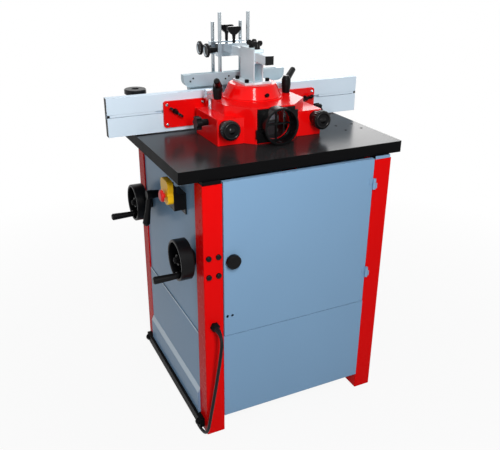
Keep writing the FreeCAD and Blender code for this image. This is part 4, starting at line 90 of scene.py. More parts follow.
# %% [markdown]
# ## Mains cord
#
# A rubber lead leaves the gland on the near post, hangs down its face, and turns under the cabinet on the floor, where
# its spare length lies in a small coil with the plug. The way from the gland to the coil is a list of points, because
# it has to keep clear of the post and the base bar. The coil is worked out instead: one and a half turns inwards on the
# floor, half a turn up, and as many turns outwards on top.

# %% The route and the coil
CORD_DIAMETER = 0.010
CORD_ROUTE = [
    (-0.2726, -0.3146, 0.4000), (-0.2726, -0.3341, 0.4000), (-0.2738, -0.3511, 0.3905), (-0.2764, -0.3606, 0.3730),
    (-0.2795, -0.3606, 0.3450), (-0.2830, -0.3551, 0.3000), (-0.2895, -0.3481, 0.2350), (-0.2970, -0.3401, 0.1650),
    (-0.3040, -0.3311, 0.0980), (-0.3085, -0.3241, 0.0520), (-0.3105, -0.3161, 0.0300), (-0.3125, -0.3001, 0.0135),
    (-0.3140, -0.2741, 0.0065), (-0.3150, -0.2441, 0.0056), (-0.3080, -0.2141, 0.0055), (-0.2880, -0.1881, 0.0055),
    (-0.2550, -0.1701, 0.0055), (-0.2170, -0.1611, 0.0055), (-0.1810, -0.1581, 0.0055),
]
COIL_RADIUS, COIL_STEP, COIL_LAYER, COIL_TURNS, COIL_CLIMB = 0.064, 0.0125, 0.011, 1.5, 0.5
POINTS_PER_TURN = 16


def coil_point(turns, start, heading):
    """A point of the coil: inwards on the floor, up one layer, and outwards again on top."""
    if turns <= COIL_TURNS:
        inset, rise = turns * COIL_STEP, 0
    elif turns <= COIL_TURNS + COIL_CLIMB:
        share = (turns - COIL_TURNS) / COIL_CLIMB
        inset, rise = COIL_TURNS * COIL_STEP, COIL_LAYER * (3 - 2 * share) * share ** 2
    else:
        inset, rise = (2 * COIL_TURNS + COIL_CLIMB - turns) * COIL_STEP, COIL_LAYER
    first = heading - math.atan2(COIL_STEP, 2 * math.pi * COIL_RADIUS) - math.pi / 2
    angle = first + 2 * math.pi * turns
    reach = COIL_RADIUS - inset
    return start + Vector((reach * math.cos(angle) - COIL_RADIUS * math.cos(first),
                           reach * math.sin(angle) - COIL_RADIUS * math.sin(first), rise))


route = [Vector(p) for p in CORD_ROUTE]
way = (route[-1] - route[-2]).normalized()
coil_start = route[-1] + way * CORD_DIAMETER
coil_heading = math.atan2(way.y, way.x)
total_turns = 2 * COIL_TURNS + COIL_CLIMB
coil_steps = round(total_turns * POINTS_PER_TURN)
coil = [coil_point(total_turns * i / coil_steps, coil_start, coil_heading) for i in range(coil_steps + 1)]
coil_end = coil[-1] + (coil[-1] - coil_point(total_turns - 1e-3, coil_start, coil_heading)).normalized() * CORD_DIAMETER
print("route points", len(route), "coil points", len(coil))

# %% [markdown]
# A row of bent tubes would look like wire, so the whole lead is one NURBS curve: the points are its control points, and
# it rounds every corner by itself. The order is set after the points are there, because a shorter curve would be given
# a lower one. The thickness is set on the points, because Blender adds their radius to the curve's box. Soft rubber on
# a 10 mm lead bends as sharply as this one does below its gland.

# %% The lead as one curve
curve = bpy.data.curves.new("mains_lead", "CURVE")
curve.dimensions = "3D"
curve.bevel_depth = 1.0
curve.bevel_resolution = 5
curve.resolution_u = 8
spline = curve.splines.new("NURBS")
line = route + coil + [coil_end]
spline.points.add(len(line) - 1)
for point, place in zip(spline.points, line):
    point.co = (*place, 1)
    point.radius = CORD_DIAMETER / 2
spline.order_u = 3
spline.use_endpoint_u = True
lead = into_scene("mains_lead", curve)
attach(lead, "machine_frame")
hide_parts("mains_cord", "cord_coil")


def centre_line(obj):
    """The points that the curve really follows, read from it with its thickness taken off for a moment."""
    depth = obj.data.bevel_depth
    obj.data.bevel_depth = 0
    mesh = bpy.data.meshes.new_from_object(obj)
    points = [v.co.copy() for v in mesh.vertices]
    bpy.data.meshes.remove(mesh)
    obj.data.bevel_depth = depth
    return points


lead_line = centre_line(lead)

# %% [markdown]
# ## A small language for finishes
#
# A material is a net of nodes, and written node by node it hides what it means. The class below wraps one socket, so
# that sums on sockets add Math nodes, and one method adds any other node. A finish is then a few lines of arithmetic.


# %% Sockets that can be added and multiplied
class Wire:
    """One socket of a material. Arithmetic on it adds Math nodes."""

    def __init__(self, tree, socket=None):
        self.tree, self.socket = tree, socket

    def node(self, kind, settings=None, inputs=None, out=0):
        """Add a node: its settings first, then the values or links of its sockets."""
        made = self.tree.nodes.new("ShaderNode" + kind)
        for name, value in (settings or {}).items():
            setattr(made, name, value)
        for key, value in (inputs or {}).items():
            self.feed(made.inputs[key], value)
        return Wire(self.tree, made.outputs[out])

    def feed(self, socket, value):
        """Link a wire to a socket, or set a plain value on it."""
        if isinstance(value, Wire):
            self.tree.links.new(value.socket, socket)
        else:
            socket.default_value = value

    def other(self, out):
        """Another output of the same node."""
        return Wire(self.tree, self.socket.node.outputs[out])

    def math(self, operation, first, second):
        return self.node("Math", {"operation": operation}, {0: first, 1: second})

    def __add__(self, value):
        return self.math("ADD", self, value)

    def __sub__(self, value):
        return self.math("SUBTRACT", self, value)

    def __rsub__(self, value):
        return self.math("SUBTRACT", value, self)

    def __mul__(self, value):
        return self.math("MULTIPLY", self, value)

    def __gt__(self, value):
        return self.math("GREATER_THAN", self, value)

    def __lt__(self, value):
        return self.math("LESS_THAN", self, value)

    __radd__, __rmul__ = __add__, __mul__

    def fade(self, low, high):
        """0 below low, 1 above high, a straight ramp between."""
        return self.node("MapRange", {"clamp": True}, {0: self, 1: low, 2: high, 3: 0.0, 4: 1.0})

    def pick(self, first, second):
        """The first colour where this is 0, the second where it is 1."""
        return self.node("Mix", {"data_type": "RGBA"}, {0: self, 6: first, 7: second}, 2)

    def between(self, first, second):
        """The same for numbers."""
        return self * (second - first) + first


def seen(red, green, blue):
    """A colour as a picture shows it, 0 to 255, turned into the light that a shader works with."""
    parts = [c / 255 for c in (red, green, blue)]
    return tuple(c / 12.92 if c <= 0.04045 else ((c + 0.055) / 1.055) ** 2.4 for c in parts) + (1.0,)


print("a mid grey as light:", round(seen(128, 128, 128)[0], 3))

# %% [markdown]
# Every finish answers the same five questions: colour, roughness, how metallic it is, how much clear gloss lies on
# top, and the height of its fine relief in metres. The real parts have broken edges, so each material also asks the
# Bevel node for a softened normal. Where that normal leaves the true one there is an edge, and the difference is a
# mask for wear. A bevel cut into the meshes would do the same, but the solids have to stay as they are.


# %% From answers to a material
def speckle(at, scale, detail=2.0, stretch=(1, 1, 1)):
    """Noise with this many grains to the metre, drawn out along an axis where stretch is small."""
    drawn = at.node("VectorMath", {"operation": "MULTIPLY"}, {0: at, 1: stretch})
    return at.node("TexNoise", None, {"Vector": drawn, "Scale": scale, "Detail": detail})


def material(name, answers, edge=0.0015, shine=0.2, **fixed):
    """A material with its edges broken to a radius. Shine is the strength of the plain reflection."""
    made = bpy.data.materials.new(name)
    made.use_nodes = True
    shader = made.node_tree.nodes["Principled BSDF"]
    start = Wire(made.node_tree)
    at = start.node("TexCoord", None, None, "Object")
    soft = start.node("Bevel", {"samples": 4}, {"Radius": edge})
    true = start.node("NewGeometry", None, None, "Normal")
    same = start.node("VectorMath", {"operation": "DOT_PRODUCT"}, {0: soft, 1: true}, "Value")
    rim = (1 - same).fade(0.02, 0.30)
    said = answers(at, rim)
    relief = start.node("Bump", None, {"Strength": 1.0, "Distance": 1.0, "Height": said["height"], "Normal": soft})
    for socket, value in (("Base Color", said["colour"]), ("Roughness", said["rough"]), ("Metallic", said["metal"]),
                          ("Coat Weight", said["coat"]), ("Normal", relief), ("Specular IOR Level", shine),
                          *fixed.items()):
        start.feed(shader.inputs[socket.replace("_", " ")], value)
    return made


print("questions to a finish: colour, rough, metal, coat, height")

# %% [markdown]
# ## Paint
#
# Posts, hood and fence carriers wear a bright red stove enamel, panels and door a blue-grey one. Sprayed paint is never
# quite one tone, has a faint orange-peel relief about two millimetres across, and is thin and pale along folded edges.
# The posts are duller than the hood. The pressed bends of the lower sheet and the lip at its seam are glossier, and
# their paler blue is a painted highlight for the light such bends catch. One flat colour would look like card, and a
# picture of paint would have to be unwrapped, so the tones are noise read from the place.


# %% Enamels and black paint
def enamel(colour, thin, gloss, peel, coat):
    def answers(at, rim):
        drift = speckle(at, 2.5, 2.0).fade(0.25, 0.75)
        dust = speckle(at, 60, 5.0).fade(0.40, 0.80)
        tone = drift.pick(tuple(c * 0.94 for c in colour[:3]) + (1,), colour)
        worn = (rim * dust * 0.55).pick(tone, thin)
        return {"colour": worn, "rough": drift * 0.04 + dust * 0.03 + gloss, "metal": 0.0,
                "coat": coat - rim * 0.25, "height": speckle(at, 430, 1.0) * peel}

    return answers


red_enamel = enamel(seen(236, 10, 11), seen(236, 78, 70), gloss=0.20, peel=2e-5, coat=0.26)
post_enamel = enamel(seen(228, 10, 11), seen(232, 60, 54), gloss=0.24, peel=3e-5, coat=0.03)
# Painted highlight: a much paler blue, with a strong coat, for the bends and the seam lip of the lower sheet.
painted_highlight_enamel = enamel(seen(190, 210, 226), seen(214, 228, 238), gloss=0.14, peel=1e-5, coat=0.9)
blue_grey_enamel = enamel(seen(128, 164, 197), seen(176, 200, 220), gloss=0.30, peel=3e-5, coat=0.06)


def black_paint(at, rim):
    drift = speckle(at, 18, 3.0)
    colour = (rim * drift * 0.5).pick(seen(8, 8, 9), seen(58, 58, 60))
    return {"colour": colour, "rough": drift * 0.15 + 0.45, "metal": 0.0, "coat": 0.0,
            "height": speckle(at, 700, 2.0) * 6e-5}


def motor_grey(at, rim):
    drift = speckle(at, 12, 3.0)
    return {"colour": drift.pick(seen(70, 82, 92), seen(90, 104, 116)), "rough": drift * 0.15 + 0.4, "metal": 0.0,
            "coat": 0.1, "height": speckle(at, 260, 2.0) * 1.2e-4}


print("paints: red, posts, folds and blue-grey in enamel, black paint, motor grey")

# %% [markdown]
# ## Iron and steel
#
# The table is cast iron with a dark oiled top, ground in fine passes along its length: the reflections in it are soft
# and drawn out. Its edges are black. Inside, the quill, the spindle and the screws are bright turned steel, with fine
# rings round the axis, and castings are dull grey. Such lines are finer than a hair, so they are not modelled: noise
# stretched along one axis moves the roughness and a faint relief.


# %% Iron and steel
def table_top(at, rim):
    passes = speckle(at, 90, 4.0, (0.35, 9.0, 1.0))
    stain = speckle(at, 5, 4.0).fade(0.3, 0.75)
    colour = stain.pick(seen(30, 29, 30), seen(42, 41, 42))
    return {"colour": (rim * 0.35).pick(colour, seen(120, 120, 122)), "rough": passes * 0.10 + stain * 0.08 + 0.14,
            "metal": 0.0, "coat": 0.26, "height": passes * 1.2e-5}


def cast_iron(at, rim):
    drift = speckle(at, 25, 4.0)
    return {"colour": (rim * 0.5).pick(drift.pick(seen(84, 86, 88), seen(112, 114, 116)), seen(160, 162, 165)),
            "rough": drift * 0.2 + 0.42, "metal": 0.7, "coat": 0.0, "height": speckle(at, 380, 3.0) * 1.4e-4}


def turned_steel(at, rim):
    rings = speckle(at, 120, 3.0, (0.4, 0.4, 7.0))
    return {"colour": rings.pick(seen(176, 179, 183), seen(206, 209, 212)), "rough": rings * 0.16 + 0.20,
            "metal": 1.0, "coat": 0.0, "height": rings * 1.5e-5}


def bright_rod(at, rim):
    streak = speckle(at, 160, 2.0, (1.0, 1.0, 0.06))
    return {"colour": streak.pick(seen(150, 159, 165), seen(182, 190, 195)), "rough": streak * 0.10 + 0.14,
            "metal": 1.0, "coat": 0.0, "height": streak * 5e-6}


print("irons: table top, casting, turned steel, bright rod")

# %% [markdown]
# ## Aluminium
#
# The fence plates are anodised: pale, matt and a little blue, with hair lines along the extrusion and ends painted
# black.
# The column of the pressure device is bare and its lines run upwards. The inside of its channel is paler and not
# metallic: painted light that lifts the shade of the recess between its flanges. The shoes are milled and look a
# shade bluer under the same light, and the small clamp blocks are polished, so that they mirror the knobs beside them.
# A fully metallic shader would only mirror the room, so the matt kinds are made partly metallic and keep a pale grey of
# their own.


# %% Aluminium
def anodised(at, rim):
    lines = speckle(at, 260, 3.0, (0.02, 1.0, 6.0))
    cloud = speckle(at, 6, 3.0)
    colour = cloud.pick(seen(212, 229, 243), seen(220, 236, 249))
    return {"colour": (rim * 0.4).pick(colour, seen(240, 244, 248)), "rough": lines * 0.12 + 0.40, "metal": 0.15,
            "coat": 0.0, "height": lines * 1.2e-5}


def bare_aluminium(at, rim):
    lines = speckle(at, 260, 3.0, (6.0, 6.0, 0.05))
    cloud = speckle(at, 14, 3.0)
    return {"colour": cloud.pick(seen(202, 212, 218), seen(216, 226, 232)), "rough": lines * 0.18 + 0.34,
            "metal": 0.35, "coat": 0.0, "height": lines * 1.5e-5}


# Painted light: the channel inside the column is paler and not metallic, so that its shaded recess looks lit.
def channel_painted_light(at, rim):
    lines = speckle(at, 260, 3.0, (6.0, 6.0, 0.05))
    return {"colour": lines.pick(seen(222, 241, 250), seen(230, 248, 254)), "rough": lines * 0.18 + 0.45, "metal": 0.0,
            "coat": 0.0, "height": lines * 1.5e-5}


def polished_block(at, rim):
    cloud = speckle(at, 35, 3.0)
    return {"colour": cloud.pick(seen(164, 177, 187), seen(208, 217, 224)), "rough": cloud * 0.12 + 0.08, "metal": 0.8,
            "coat": 0.0, "height": speckle(at, 260, 2.0, (1.0, 1.0, 0.2)) * 6e-6}


def milled_alloy(at, rim):
    cloud = speckle(at, 20, 4.0)
    swirl = speckle(at, 420, 2.0, (1.0, 1.0, 0.25))
    colour = cloud.pick(seen(166, 187, 196), seen(184, 204, 214))
    return {"colour": (rim * 0.5).pick(colour, seen(236, 240, 242)), "rough": swirl * 0.15 + 0.28, "metal": 0.30,
            "coat": 0.0, "height": swirl * 2e-5}


print("aluminium: anodised, bare, in the channel, polished, milled")

# %% [markdown]
# ## Plastics and rubber
#
# Knobs, levers, wheels and the dust port are black moulded plastic with a fine spark-eroded grain, shinier where hands
# polish the edges. The switch is the same plastic in yellow and red. Lead and belt are rubber. Only tone, roughness and
# grain differ between them, so one function makes them all. The brass pins of the plug are the odd one out.


# %% Plastics, rubber and brass
def moulded(dark, pale, rough, grain=4e-5):
    def answers(at, rim):
        cloud = speckle(at, 30, 3.0)
        pits = speckle(at, 900, 2.0)
        return {"colour": (rim * 0.5).pick(cloud.pick(dark, pale), pale), "rough": cloud * 0.12 + pits * 0.08 + rough,
                "metal": 0.0, "coat": 0.0, "height": pits * grain}

    return answers


black_plastic = moulded(seen(9, 9, 10), seen(17, 17, 19), 0.20)
port_plastic = moulded(seen(9, 9, 10), seen(17, 17, 18), 0.12, 2e-5)
gloss_plastic = moulded(seen(5, 5, 6), seen(11, 11, 12), 0.01, 4e-6)
yellow_plastic = moulded(seen(252, 188, 6), seen(255, 208, 30), 0.28)
red_plastic = moulded(seen(205, 18, 22), seen(226, 40, 40), 0.24)
rubber = moulded(seen(13, 14, 16), seen(24, 26, 29), 0.36, 7e-5)


def brass(at, rim):
    cloud = speckle(at, 60, 3.0)
    return {"colour": cloud.pick(seen(190, 160, 90), seen(214, 186, 120)), "rough": cloud * 0.2 + 0.25, "metal": 1.0,
            "coat": 0.0, "height": speckle(at, 500, 2.0) * 1e-5}


print("plastics: black, port, gloss, yellow, red, and rubber and brass")

# %% [markdown]
# ## Two finishes on one node
#
# Some nodes hold parts of two kinds, such as a plastic wheel with its steel shaft. They could be cut apart, but the
# solids have to stay as they are. So such a node gets both finishes in one material, and a mask made from the place on
# the machine says where the second one begins. A number that both finishes share stays a plain number.


# %% A finish made of two
def spread(at):
    """The x, y and z of a position."""
    parts = at.node("SeparateXYZ", None, {0: at})
    return parts, parts.other(1), parts.other(2)


def split(first, second, where):
    """One finish where the mask is 0 and another where it is 1."""

    def answers(at, rim):
        mask = where(at, *spread(at))
        a, b = first(at, rim), second(at, rim)
        both = {key: a[key] if a[key] == b[key] else mask.between(a[key], b[key]) for key in a if key != "colour"}
        return {"colour": mask.pick(a["colour"], b["colour"]), **both}

    return answers


print("a split finish takes two finishes and a mask")

# %% [markdown]
# Most masks only compare a coordinate with a plane of the machine: outside the control sheet a wheel is plastic, behind
# the sheet it is a steel shaft. A product of two comparisons means both, and a sum means either. A painted mask would
# have to be unwrapped, and a plane is exact.

# %% Masks by place
CABINET_LEFT, CABINET_NEAR = -0.3025, -0.2976
# FOLD_FOOT and FOLD_TOP bound the sloping bend, and above SEAM_FOLD lies the lip at the seam. Both get the painted
# highlight.
FOLD_FOOT, FOLD_TOP, SEAM_FOLD = 0.1250, 0.1430, 0.3462
HINGE_X, HINGE_Y, HINGE_Z = 0.20, -0.294, 0.42
ARM_CAP_NEAR, ARM_CAP_FAR = -0.0910, 0.2418
CHANNEL_HALF = 0.0135
HOOD_TOP, TOP_SHOE_TOP, SIDE_SHOE_TOP, GAUGE_TOP = 1.0002, 1.0542, 1.0122, 0.9960


def inside_left(at, x, y, z):
    return x > CABINET_LEFT


def behind_door(at, x, y, z):
    return y > CABINET_NEAR


# Where the painted highlight goes: the lip above the seam and the sloping bend near the foot.
def painted_fold_highlights(at, x, y, z):
    return (z > SEAM_FOLD) + (z > FOLD_FOOT) * (z < FOLD_TOP)


def hinge_side(at, x, y, z):
    return (x > HINGE_X) * (y < HINGE_Y) * (z > HINGE_Z)


def arm_ends(at, x, y, z):
    return (y < ARM_CAP_NEAR) + (y > ARM_CAP_FAR)


def in_channel(at, x, y, z):
    return x * x < CHANNEL_HALF ** 2


def above(height):
    return lambda at, x, y, z: z > height


def below(height):
    return lambda at, x, y, z: z < height


print("control side at x =", CABINET_LEFT, "door side at y =", CABINET_NEAR)

# %% [markdown]
# Three masks need more than a place. The ends of the fence and the edges of the table are told by the way they face,
# the pale dish of a disc knob is a band round the knob's own middle, and the plug's pins lie beyond its body along the
# way in which the lead ends.

# %% Masks by direction and distance
FENCE_END_FACING, TABLE_EDGE_FACING = 0.8, 0.5
DISH_INNER, DISH_OUTER, DISH_DEPTH = 0.0141, 0.0172, 0.0032
PLUG_BODY = 0.068
plug_way = (coil_end - coil[-1]).normalized()


def facing(at, axis):
    """How far the true surface faces along an axis, from -1 to 1."""
    return spread(at.node("NewGeometry", None, None, "Normal"))[axis]


def fence_ends(at, x, y, z):
    across = facing(at, 0)
    return (across * across) > FENCE_END_FACING


def edges_of_table(at, x, y, z):
    return facing(at, 2) < TABLE_EDGE_FACING


def dish_of(name):
    """The sloping wall round the hollow face of a disc knob, which faces -x."""
    low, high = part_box(name)
    middle_y, middle_z = (low[1] + high[1]) / 2, (low[2] + high[2]) / 2

    def where(at, x, y, z):
        along_y, along_z = y - middle_y, z - middle_z
        square = along_y * along_y + along_z * along_z
        return (square > DISH_INNER ** 2) * (square < DISH_OUTER ** 2) * (x < low[0] + DISH_DEPTH)

    return where


def plug_pins(at, x, y, z):
    along = at.node("VectorMath", {"operation": "DOT_PRODUCT"}, {0: at, 1: tuple(plug_way)}, "Value")
    return along > coil_end.dot(plug_way) + PLUG_BODY


print("the plug lies along", [round(v, 3) for v in plug_way])

# %% [markdown]
# ## Which node wears what
#
# Here finishes become materials. Each says how widely its edges are broken, and how strongly it mirrors: the black
# plastics little, or the white room would turn them grey. A table then dresses every solid, and its last line names any
# that was forgotten.

# %% Materials that several pieces share
BLACK_SHINE = 0.11
paint_red = material("red_enamel", red_enamel, edge=0.0022, shine=0.05, Coat_Roughness=0.03)
paint_posts = material("post_enamel", post_enamel, edge=0.0022, shine=0.015, Coat_Roughness=0.12)
# The lower sheet: blue-grey enamel with a painted highlight on its bends.
sheet_fold_highlight = material("sheet_with_painted_fold_highlights", split(blue_grey_enamel, painted_highlight_enamel, painted_fold_highlights), edge=0.0030, shine=0.06,
                       Coat_Roughness=0.10)
paint_blue = material("blue_grey_enamel", blue_grey_enamel, edge=0.0020, shine=0.08, Coat_Roughness=0.14)
plastic = material("black_plastic", black_plastic, edge=0.0012, shine=BLACK_SHINE)
steel = material("turned_steel", turned_steel, edge=0.0008)
iron = material("cast_iron", cast_iron, edge=0.0016)
polished = material("polished_block", polished_block, edge=0.0012)
painted_black = material("black_paint", black_paint, edge=0.0012, shine=0.06)
lead_rubber = material("lead_rubber", rubber, edge=0.0008, shine=0.12)
wheel_mix = material("wheel_and_shaft", split(black_plastic, turned_steel, inside_left), shine=BLACK_SHINE)
fence_mix = material("fence_alloy", split(anodised, black_paint, fence_ends), edge=0.0012)
table_iron = material("table_iron", split(table_top, black_paint, edges_of_table), edge=0.0016, shine=0.04,
                      Coat_Roughness=0.20)
lever_mix = material("lever_and_stud", split(black_plastic, turned_steel, below(HOOD_TOP)), shine=BLACK_SHINE)
print("materials:", len(bpy.data.materials))

# %% Materials on the solids
dress = {
    paint_red: ("hood", "fence_carrier_left", "fence_carrier_right"),
    paint_posts: ("corner_posts",),
    sheet_fold_highlight: ("control_panel_lower",),
    paint_blue: ("control_panel_upper", "cabinet_panels", "door"),
    plastic: ("height_grip", "tension_grip", "star_knob_left", "star_knob_right", "fine_knob_left", "fine_knob_right",
              "wing_knob_left", "wing_knob_right", "arm_screw_far", "arm_screw_near", "tee_knob_near", "tee_knob_far",
              "switch_box"),
    **{material("disc_" + word, split(black_plastic, bright_rod, dish_of("disc_knob_" + word)), edge=0.0008,
                shine=BLACK_SHINE): ("disc_knob_" + word,) for word in ("near", "far")},
    wheel_mix: ("height_wheel", "tension_wheel", "lock_lever"),
    lever_mix: ("clamp_lever_left", "clamp_lever_right"),
    fence_mix: ("fence_plate_left", "fence_plate_right"),
    steel: ("quill", "quill_bearings", "spindle", "spindle_rings", "lift_screw", "motor_pulley"),
    iron: ("quill_housing", "table_ring", "spindle_pulley"),
    polished: ("pressure_heads", "guard_post"),
    painted_black: ("drive_frame", "hood_bolts", "motor_plate"),
    lead_rubber: ("drive_belt", "mains_cord", "cord_coil"),
    table_iron: ("table",),
    material("fittings", split(black_paint, blue_grey_enamel, hinge_side), edge=0.0010,
             shine=0.06): ("frame_fittings",),
    material("arm_alloy", split(bare_aluminium, black_plastic, arm_ends), edge=0.0010): ("pressure_arm",),
    material("top_shoe_alloy", split(milled_alloy, bright_rod, above(TOP_SHOE_TOP)), edge=0.0010): ("top_shoe",),
    material("side_shoe_alloy", split(milled_alloy, bright_rod, above(SIDE_SHOE_TOP)), edge=0.0010): ("side_shoe",),
    material("latch", split(black_plastic, turned_steel, behind_door), shine=BLACK_SHINE): ("door_latch",),
    # The channel of the column gets the painted light.
    material("column_alloy", split(bare_aluminium, channel_painted_light, in_channel), edge=0.0010): ("column",),
    material("port_plastic", port_plastic, edge=0.0012, shine=BLACK_SHINE): ("dust_port",),
    material("motor_grey", motor_grey): ("motor",),
    material("yellow_plastic", yellow_plastic, edge=0.0020): ("switch_lid",),
    material("red_plastic", red_plastic, edge=0.0020): ("stop_button",),
    material("gauge", split(black_plastic, cast_iron, below(GAUGE_TOP)), edge=0.0020): ("mitre_gauge",),
    material("plug", split(black_plastic, brass, plug_pins), edge=0.0010): ("mains_plug",),
}
for finish, names in dress.items():
    for name in names:
        nodes[name].data.materials.clear()
        nodes[name].data.materials.append(finish)
lead.data.materials.append(lead_rubber)
bare = sorted(set(nodes) - {name for names in dress.values() for name in names})
print("finishes:", len(dress), "nodes left bare:", bare)

# %% [markdown]
# ## Small parts
#
# Screw heads, nuts, caps and ribs are too fine for the solids, but they are what the eye checks a machine by. Nearly
# all of them are turned shapes, so one function turns a row of rings about an axis. A ring can be a polygon as well,
# which makes a hexagon nut or the socket in a screw, and it can be ribbed for grip. A Screw modifier could turn a
# profile too, but not with rings of different kinds.

# %% Turning a shape
MILLIMETRES = 1000


def skin(shape, loops):
    """Close a row of loops of points: walls between neighbours and a face at both ends."""
    for low, high in zip(loops, loops[1:]):
        for step in range(len(low)):
            after = (step + 1) % len(low)
            shape.faces.new((low[step], low[after], high[after], high[step]))
    shape.faces.new(loops[0][::-1])
    shape.faces.new(loops[-1])


def lathe(shape, rings, place, axis, sides=36, ribs=0, depth=0.0):
    """Add a turned body. A ring is (radius, height) in millimetres, and a third number gives it that many corners."""
    turn = Vector((0, 0, 1)).rotation_difference(Vector(axis)).to_matrix()
    loops = []
    for radius, height, *corners in rings:
        loop = []
        for step in range(sides):
            angle = 2 * math.pi * step / sides
            reach = radius * (1 + depth * math.cos(ribs * angle))
            if corners:
                sector = 2 * math.pi / corners[0]
                reach /= math.cos(angle % sector - sector / 2)
            point = Vector((reach * math.cos(angle), reach * math.sin(angle), height)) / MILLIMETRES
            loop.append(shape.verts.new(Vector(place) + turn @ point))
        loops.append(loop)
    skin(shape, loops)


print("a ring in metres is its numbers divided by", MILLIMETRES)

# %% [markdown]
# Every small part is drawn into an empty mesh by a function of its own. What follows is the same for all: faces turned
# outwards, shading smooth but sharp at edges of more than 35 degrees, one material, and the body that carries it, so
# that it moves with its joint.

# %% From a drawing to a piece
SHARP_EDGE = math.radians(35)


def piece(name, body, finish, build):
    """Make one object from what build() adds to an empty mesh, and let it ride on its body."""
    shape = bmesh.new()
    build(shape)
    bmesh.ops.recalc_face_normals(shape, faces=shape.faces)
    for face in shape.faces:
        face.smooth = True
    for edge in shape.edges:
        edge.smooth = edge.calc_face_angle(0.0) < SHARP_EDGE
    mesh = bpy.data.meshes.new(name)
    shape.to_mesh(mesh)
    shape.free()
    mesh.materials.append(finish)
    made = into_scene(name, mesh)
    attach(made, body)
    print(name, "on", body, len(mesh.polygons), "faces")


print("sharp from", round(SHARP_EDGE, 3), "radians")

# %% [markdown]
# ### Screws
#
# The carriers are held by four bright socket screws each, the dust port by two, and the top shoe's face shows the dark
# ends of its own. A socket screw is a drum with a rounded shoulder and a hexagon sunk into it. A dark dot painted on
# the sheet would do from afar, but it has no rim to catch the light.

# %% Screws
TOWARDS_DOOR = (0, -1, 0)
CARRIER_FACE_Y, CARRIER_SCREW_X, CARRIER_SCREW_Z = 0.0899, (0.142, 0.261), (0.917, 0.979)
PORT_LUG_Y, PORT_SCREWS = -0.1531, ((-0.055, 0.923), (0.055, 0.973))
SHOE_FACE_Y = 0.1479
SHOE_SCREWS = ((-0.149, 1.042), (-0.159, 1.033), (-0.024, 1.041), (-0.036, 1.033), (0.101, 1.042), (0.089, 1.033))
SIDES = ((-1, "left"), (1, "right"))


def socket_screws(places, radius, height, socket):
    """Socket screws that face the door, measured in millimetres."""
    rings = [(radius, 0), (radius, height * 0.6), (radius * 0.96, height * 0.82), (radius * 0.84, height * 0.95),
             (radius * 0.70, height), (socket, height, 6), (socket, height * 0.35, 6)]
    return lambda shape: [lathe(shape, rings, place, TOWARDS_DOOR) for place in places]


bright_zinc = material("bright_zinc", bright_rod, edge=0.0004)
for side, word in SIDES:
    places = [(side * x, CARRIER_FACE_Y, z) for x in CARRIER_SCREW_X for z in CARRIER_SCREW_Z]
    piece("carrier_screws_" + word, "fence_carrier_" + word, bright_zinc, socket_screws(places, 4.6, 3.2, 2.1))
piece("port_screws", "hood_body", painted_black,
      socket_screws([(x, PORT_LUG_Y, z) for x, z in PORT_SCREWS], 5.2, 5.0, 2.2))
piece("shoe_screws", "top_shoe", painted_black,
      socket_screws([(x, SHOE_FACE_Y, z) for x, z in SHOE_SCREWS], 2.8, 1.2, 1.1))

# %% [markdown]
# ### Caps and nuts
#
# Domed caps cover the bolts of the near post. Each wheel is held on its shaft by a washer and a hexagon nut. Both are
# rows of rings again: a dome needs about six, and the nut changes from round to six corners and back.

# %% Caps and nuts
TOWARDS_LEFT = (-1, 0, 0)
POST_CAPS = [(-0.2725 + x, CABINET_NEAR, 0.598 + z) for x in (-0.015, 0.015) for z in (-0.030, 0.030)]
CAP_RINGS = [(8.2, 0), (8.2, 4.2), (7.8, 5.2), (6.7, 6.2), (5.0, 6.9), (2.8, 7.3), (0.6, 7.4)]
HUB_RINGS = [(13, -0.5), (13, 1.4), (12.6, 1.8), (8.6, 1.8), (8.6, 1.9, 6), (8.6, 7.6, 6), (8.0, 8.6, 6), (5.4, 8.6),
             (5.4, 10.2), (4.6, 11.0), (0.6, 11.0)]
WHEEL_HUBS = {"height_wheel": (-0.3555, 0.1969, 0.630), "tension_wheel": (-0.3475, -0.2021, 0.593)}

piece("post_caps", "machine_frame", plastic,
      lambda shape: [lathe(shape, CAP_RINGS, place, TOWARDS_DOOR) for place in POST_CAPS])
for body, place in WHEEL_HUBS.items():
    piece(body + "_nut", body, painted_black, lambda shape: lathe(shape, HUB_RINGS, place, TOWARDS_LEFT))

# %% [markdown]
# ### Trim of the fine-setting knobs
#
# The two fine-setting knobs have a ribbed rim and a face with a hollow ring round a domed middle, which is what catches
# the light on them. Ribs could be cut one by one, but a radius that swings like a wave round the ring gives them all.

# %% Knob trim
KNOB_X, KNOB_Y, KNOB_Z = 0.153, -0.1434, 0.946
KNOB_RIBS, RIB_DEPTH = 24, 0.028
RIM_RINGS = [(26.5, 1.2), (28.2, 1.2), (28.6, 2.4), (28.6, 16.6), (28.2, 18.0), (26.5, 18.0)]
FACE_RINGS = [(25.4, 18.0), (25.2, 20.2), (24.4, 21.2), (22.8, 21.7), (21.0, 21.4), (19.6, 20.4), (18.6, 18.9),
              (12.0, 18.6), (10.6, 19.4), (9.0, 20.6), (6.4, 21.6), (3.4, 22.1), (0.6, 22.2)]


def knob_trim(shape, x):
    lathe(shape, RIM_RINGS, (x, KNOB_Y, KNOB_Z), TOWARDS_DOOR, 8 * KNOB_RIBS, KNOB_RIBS, RIB_DEPTH)
    lathe(shape, FACE_RINGS, (x, KNOB_Y, KNOB_Z), TOWARDS_DOOR, 48)


gloss_black = material("gloss_black", gloss_plastic, edge=0.0006, shine=0.20)
for side, word in SIDES:
    piece("knob_trim_" + word, "fine_knob_" + word, gloss_black,
          lambda shape: knob_trim(shape, side * KNOB_X))

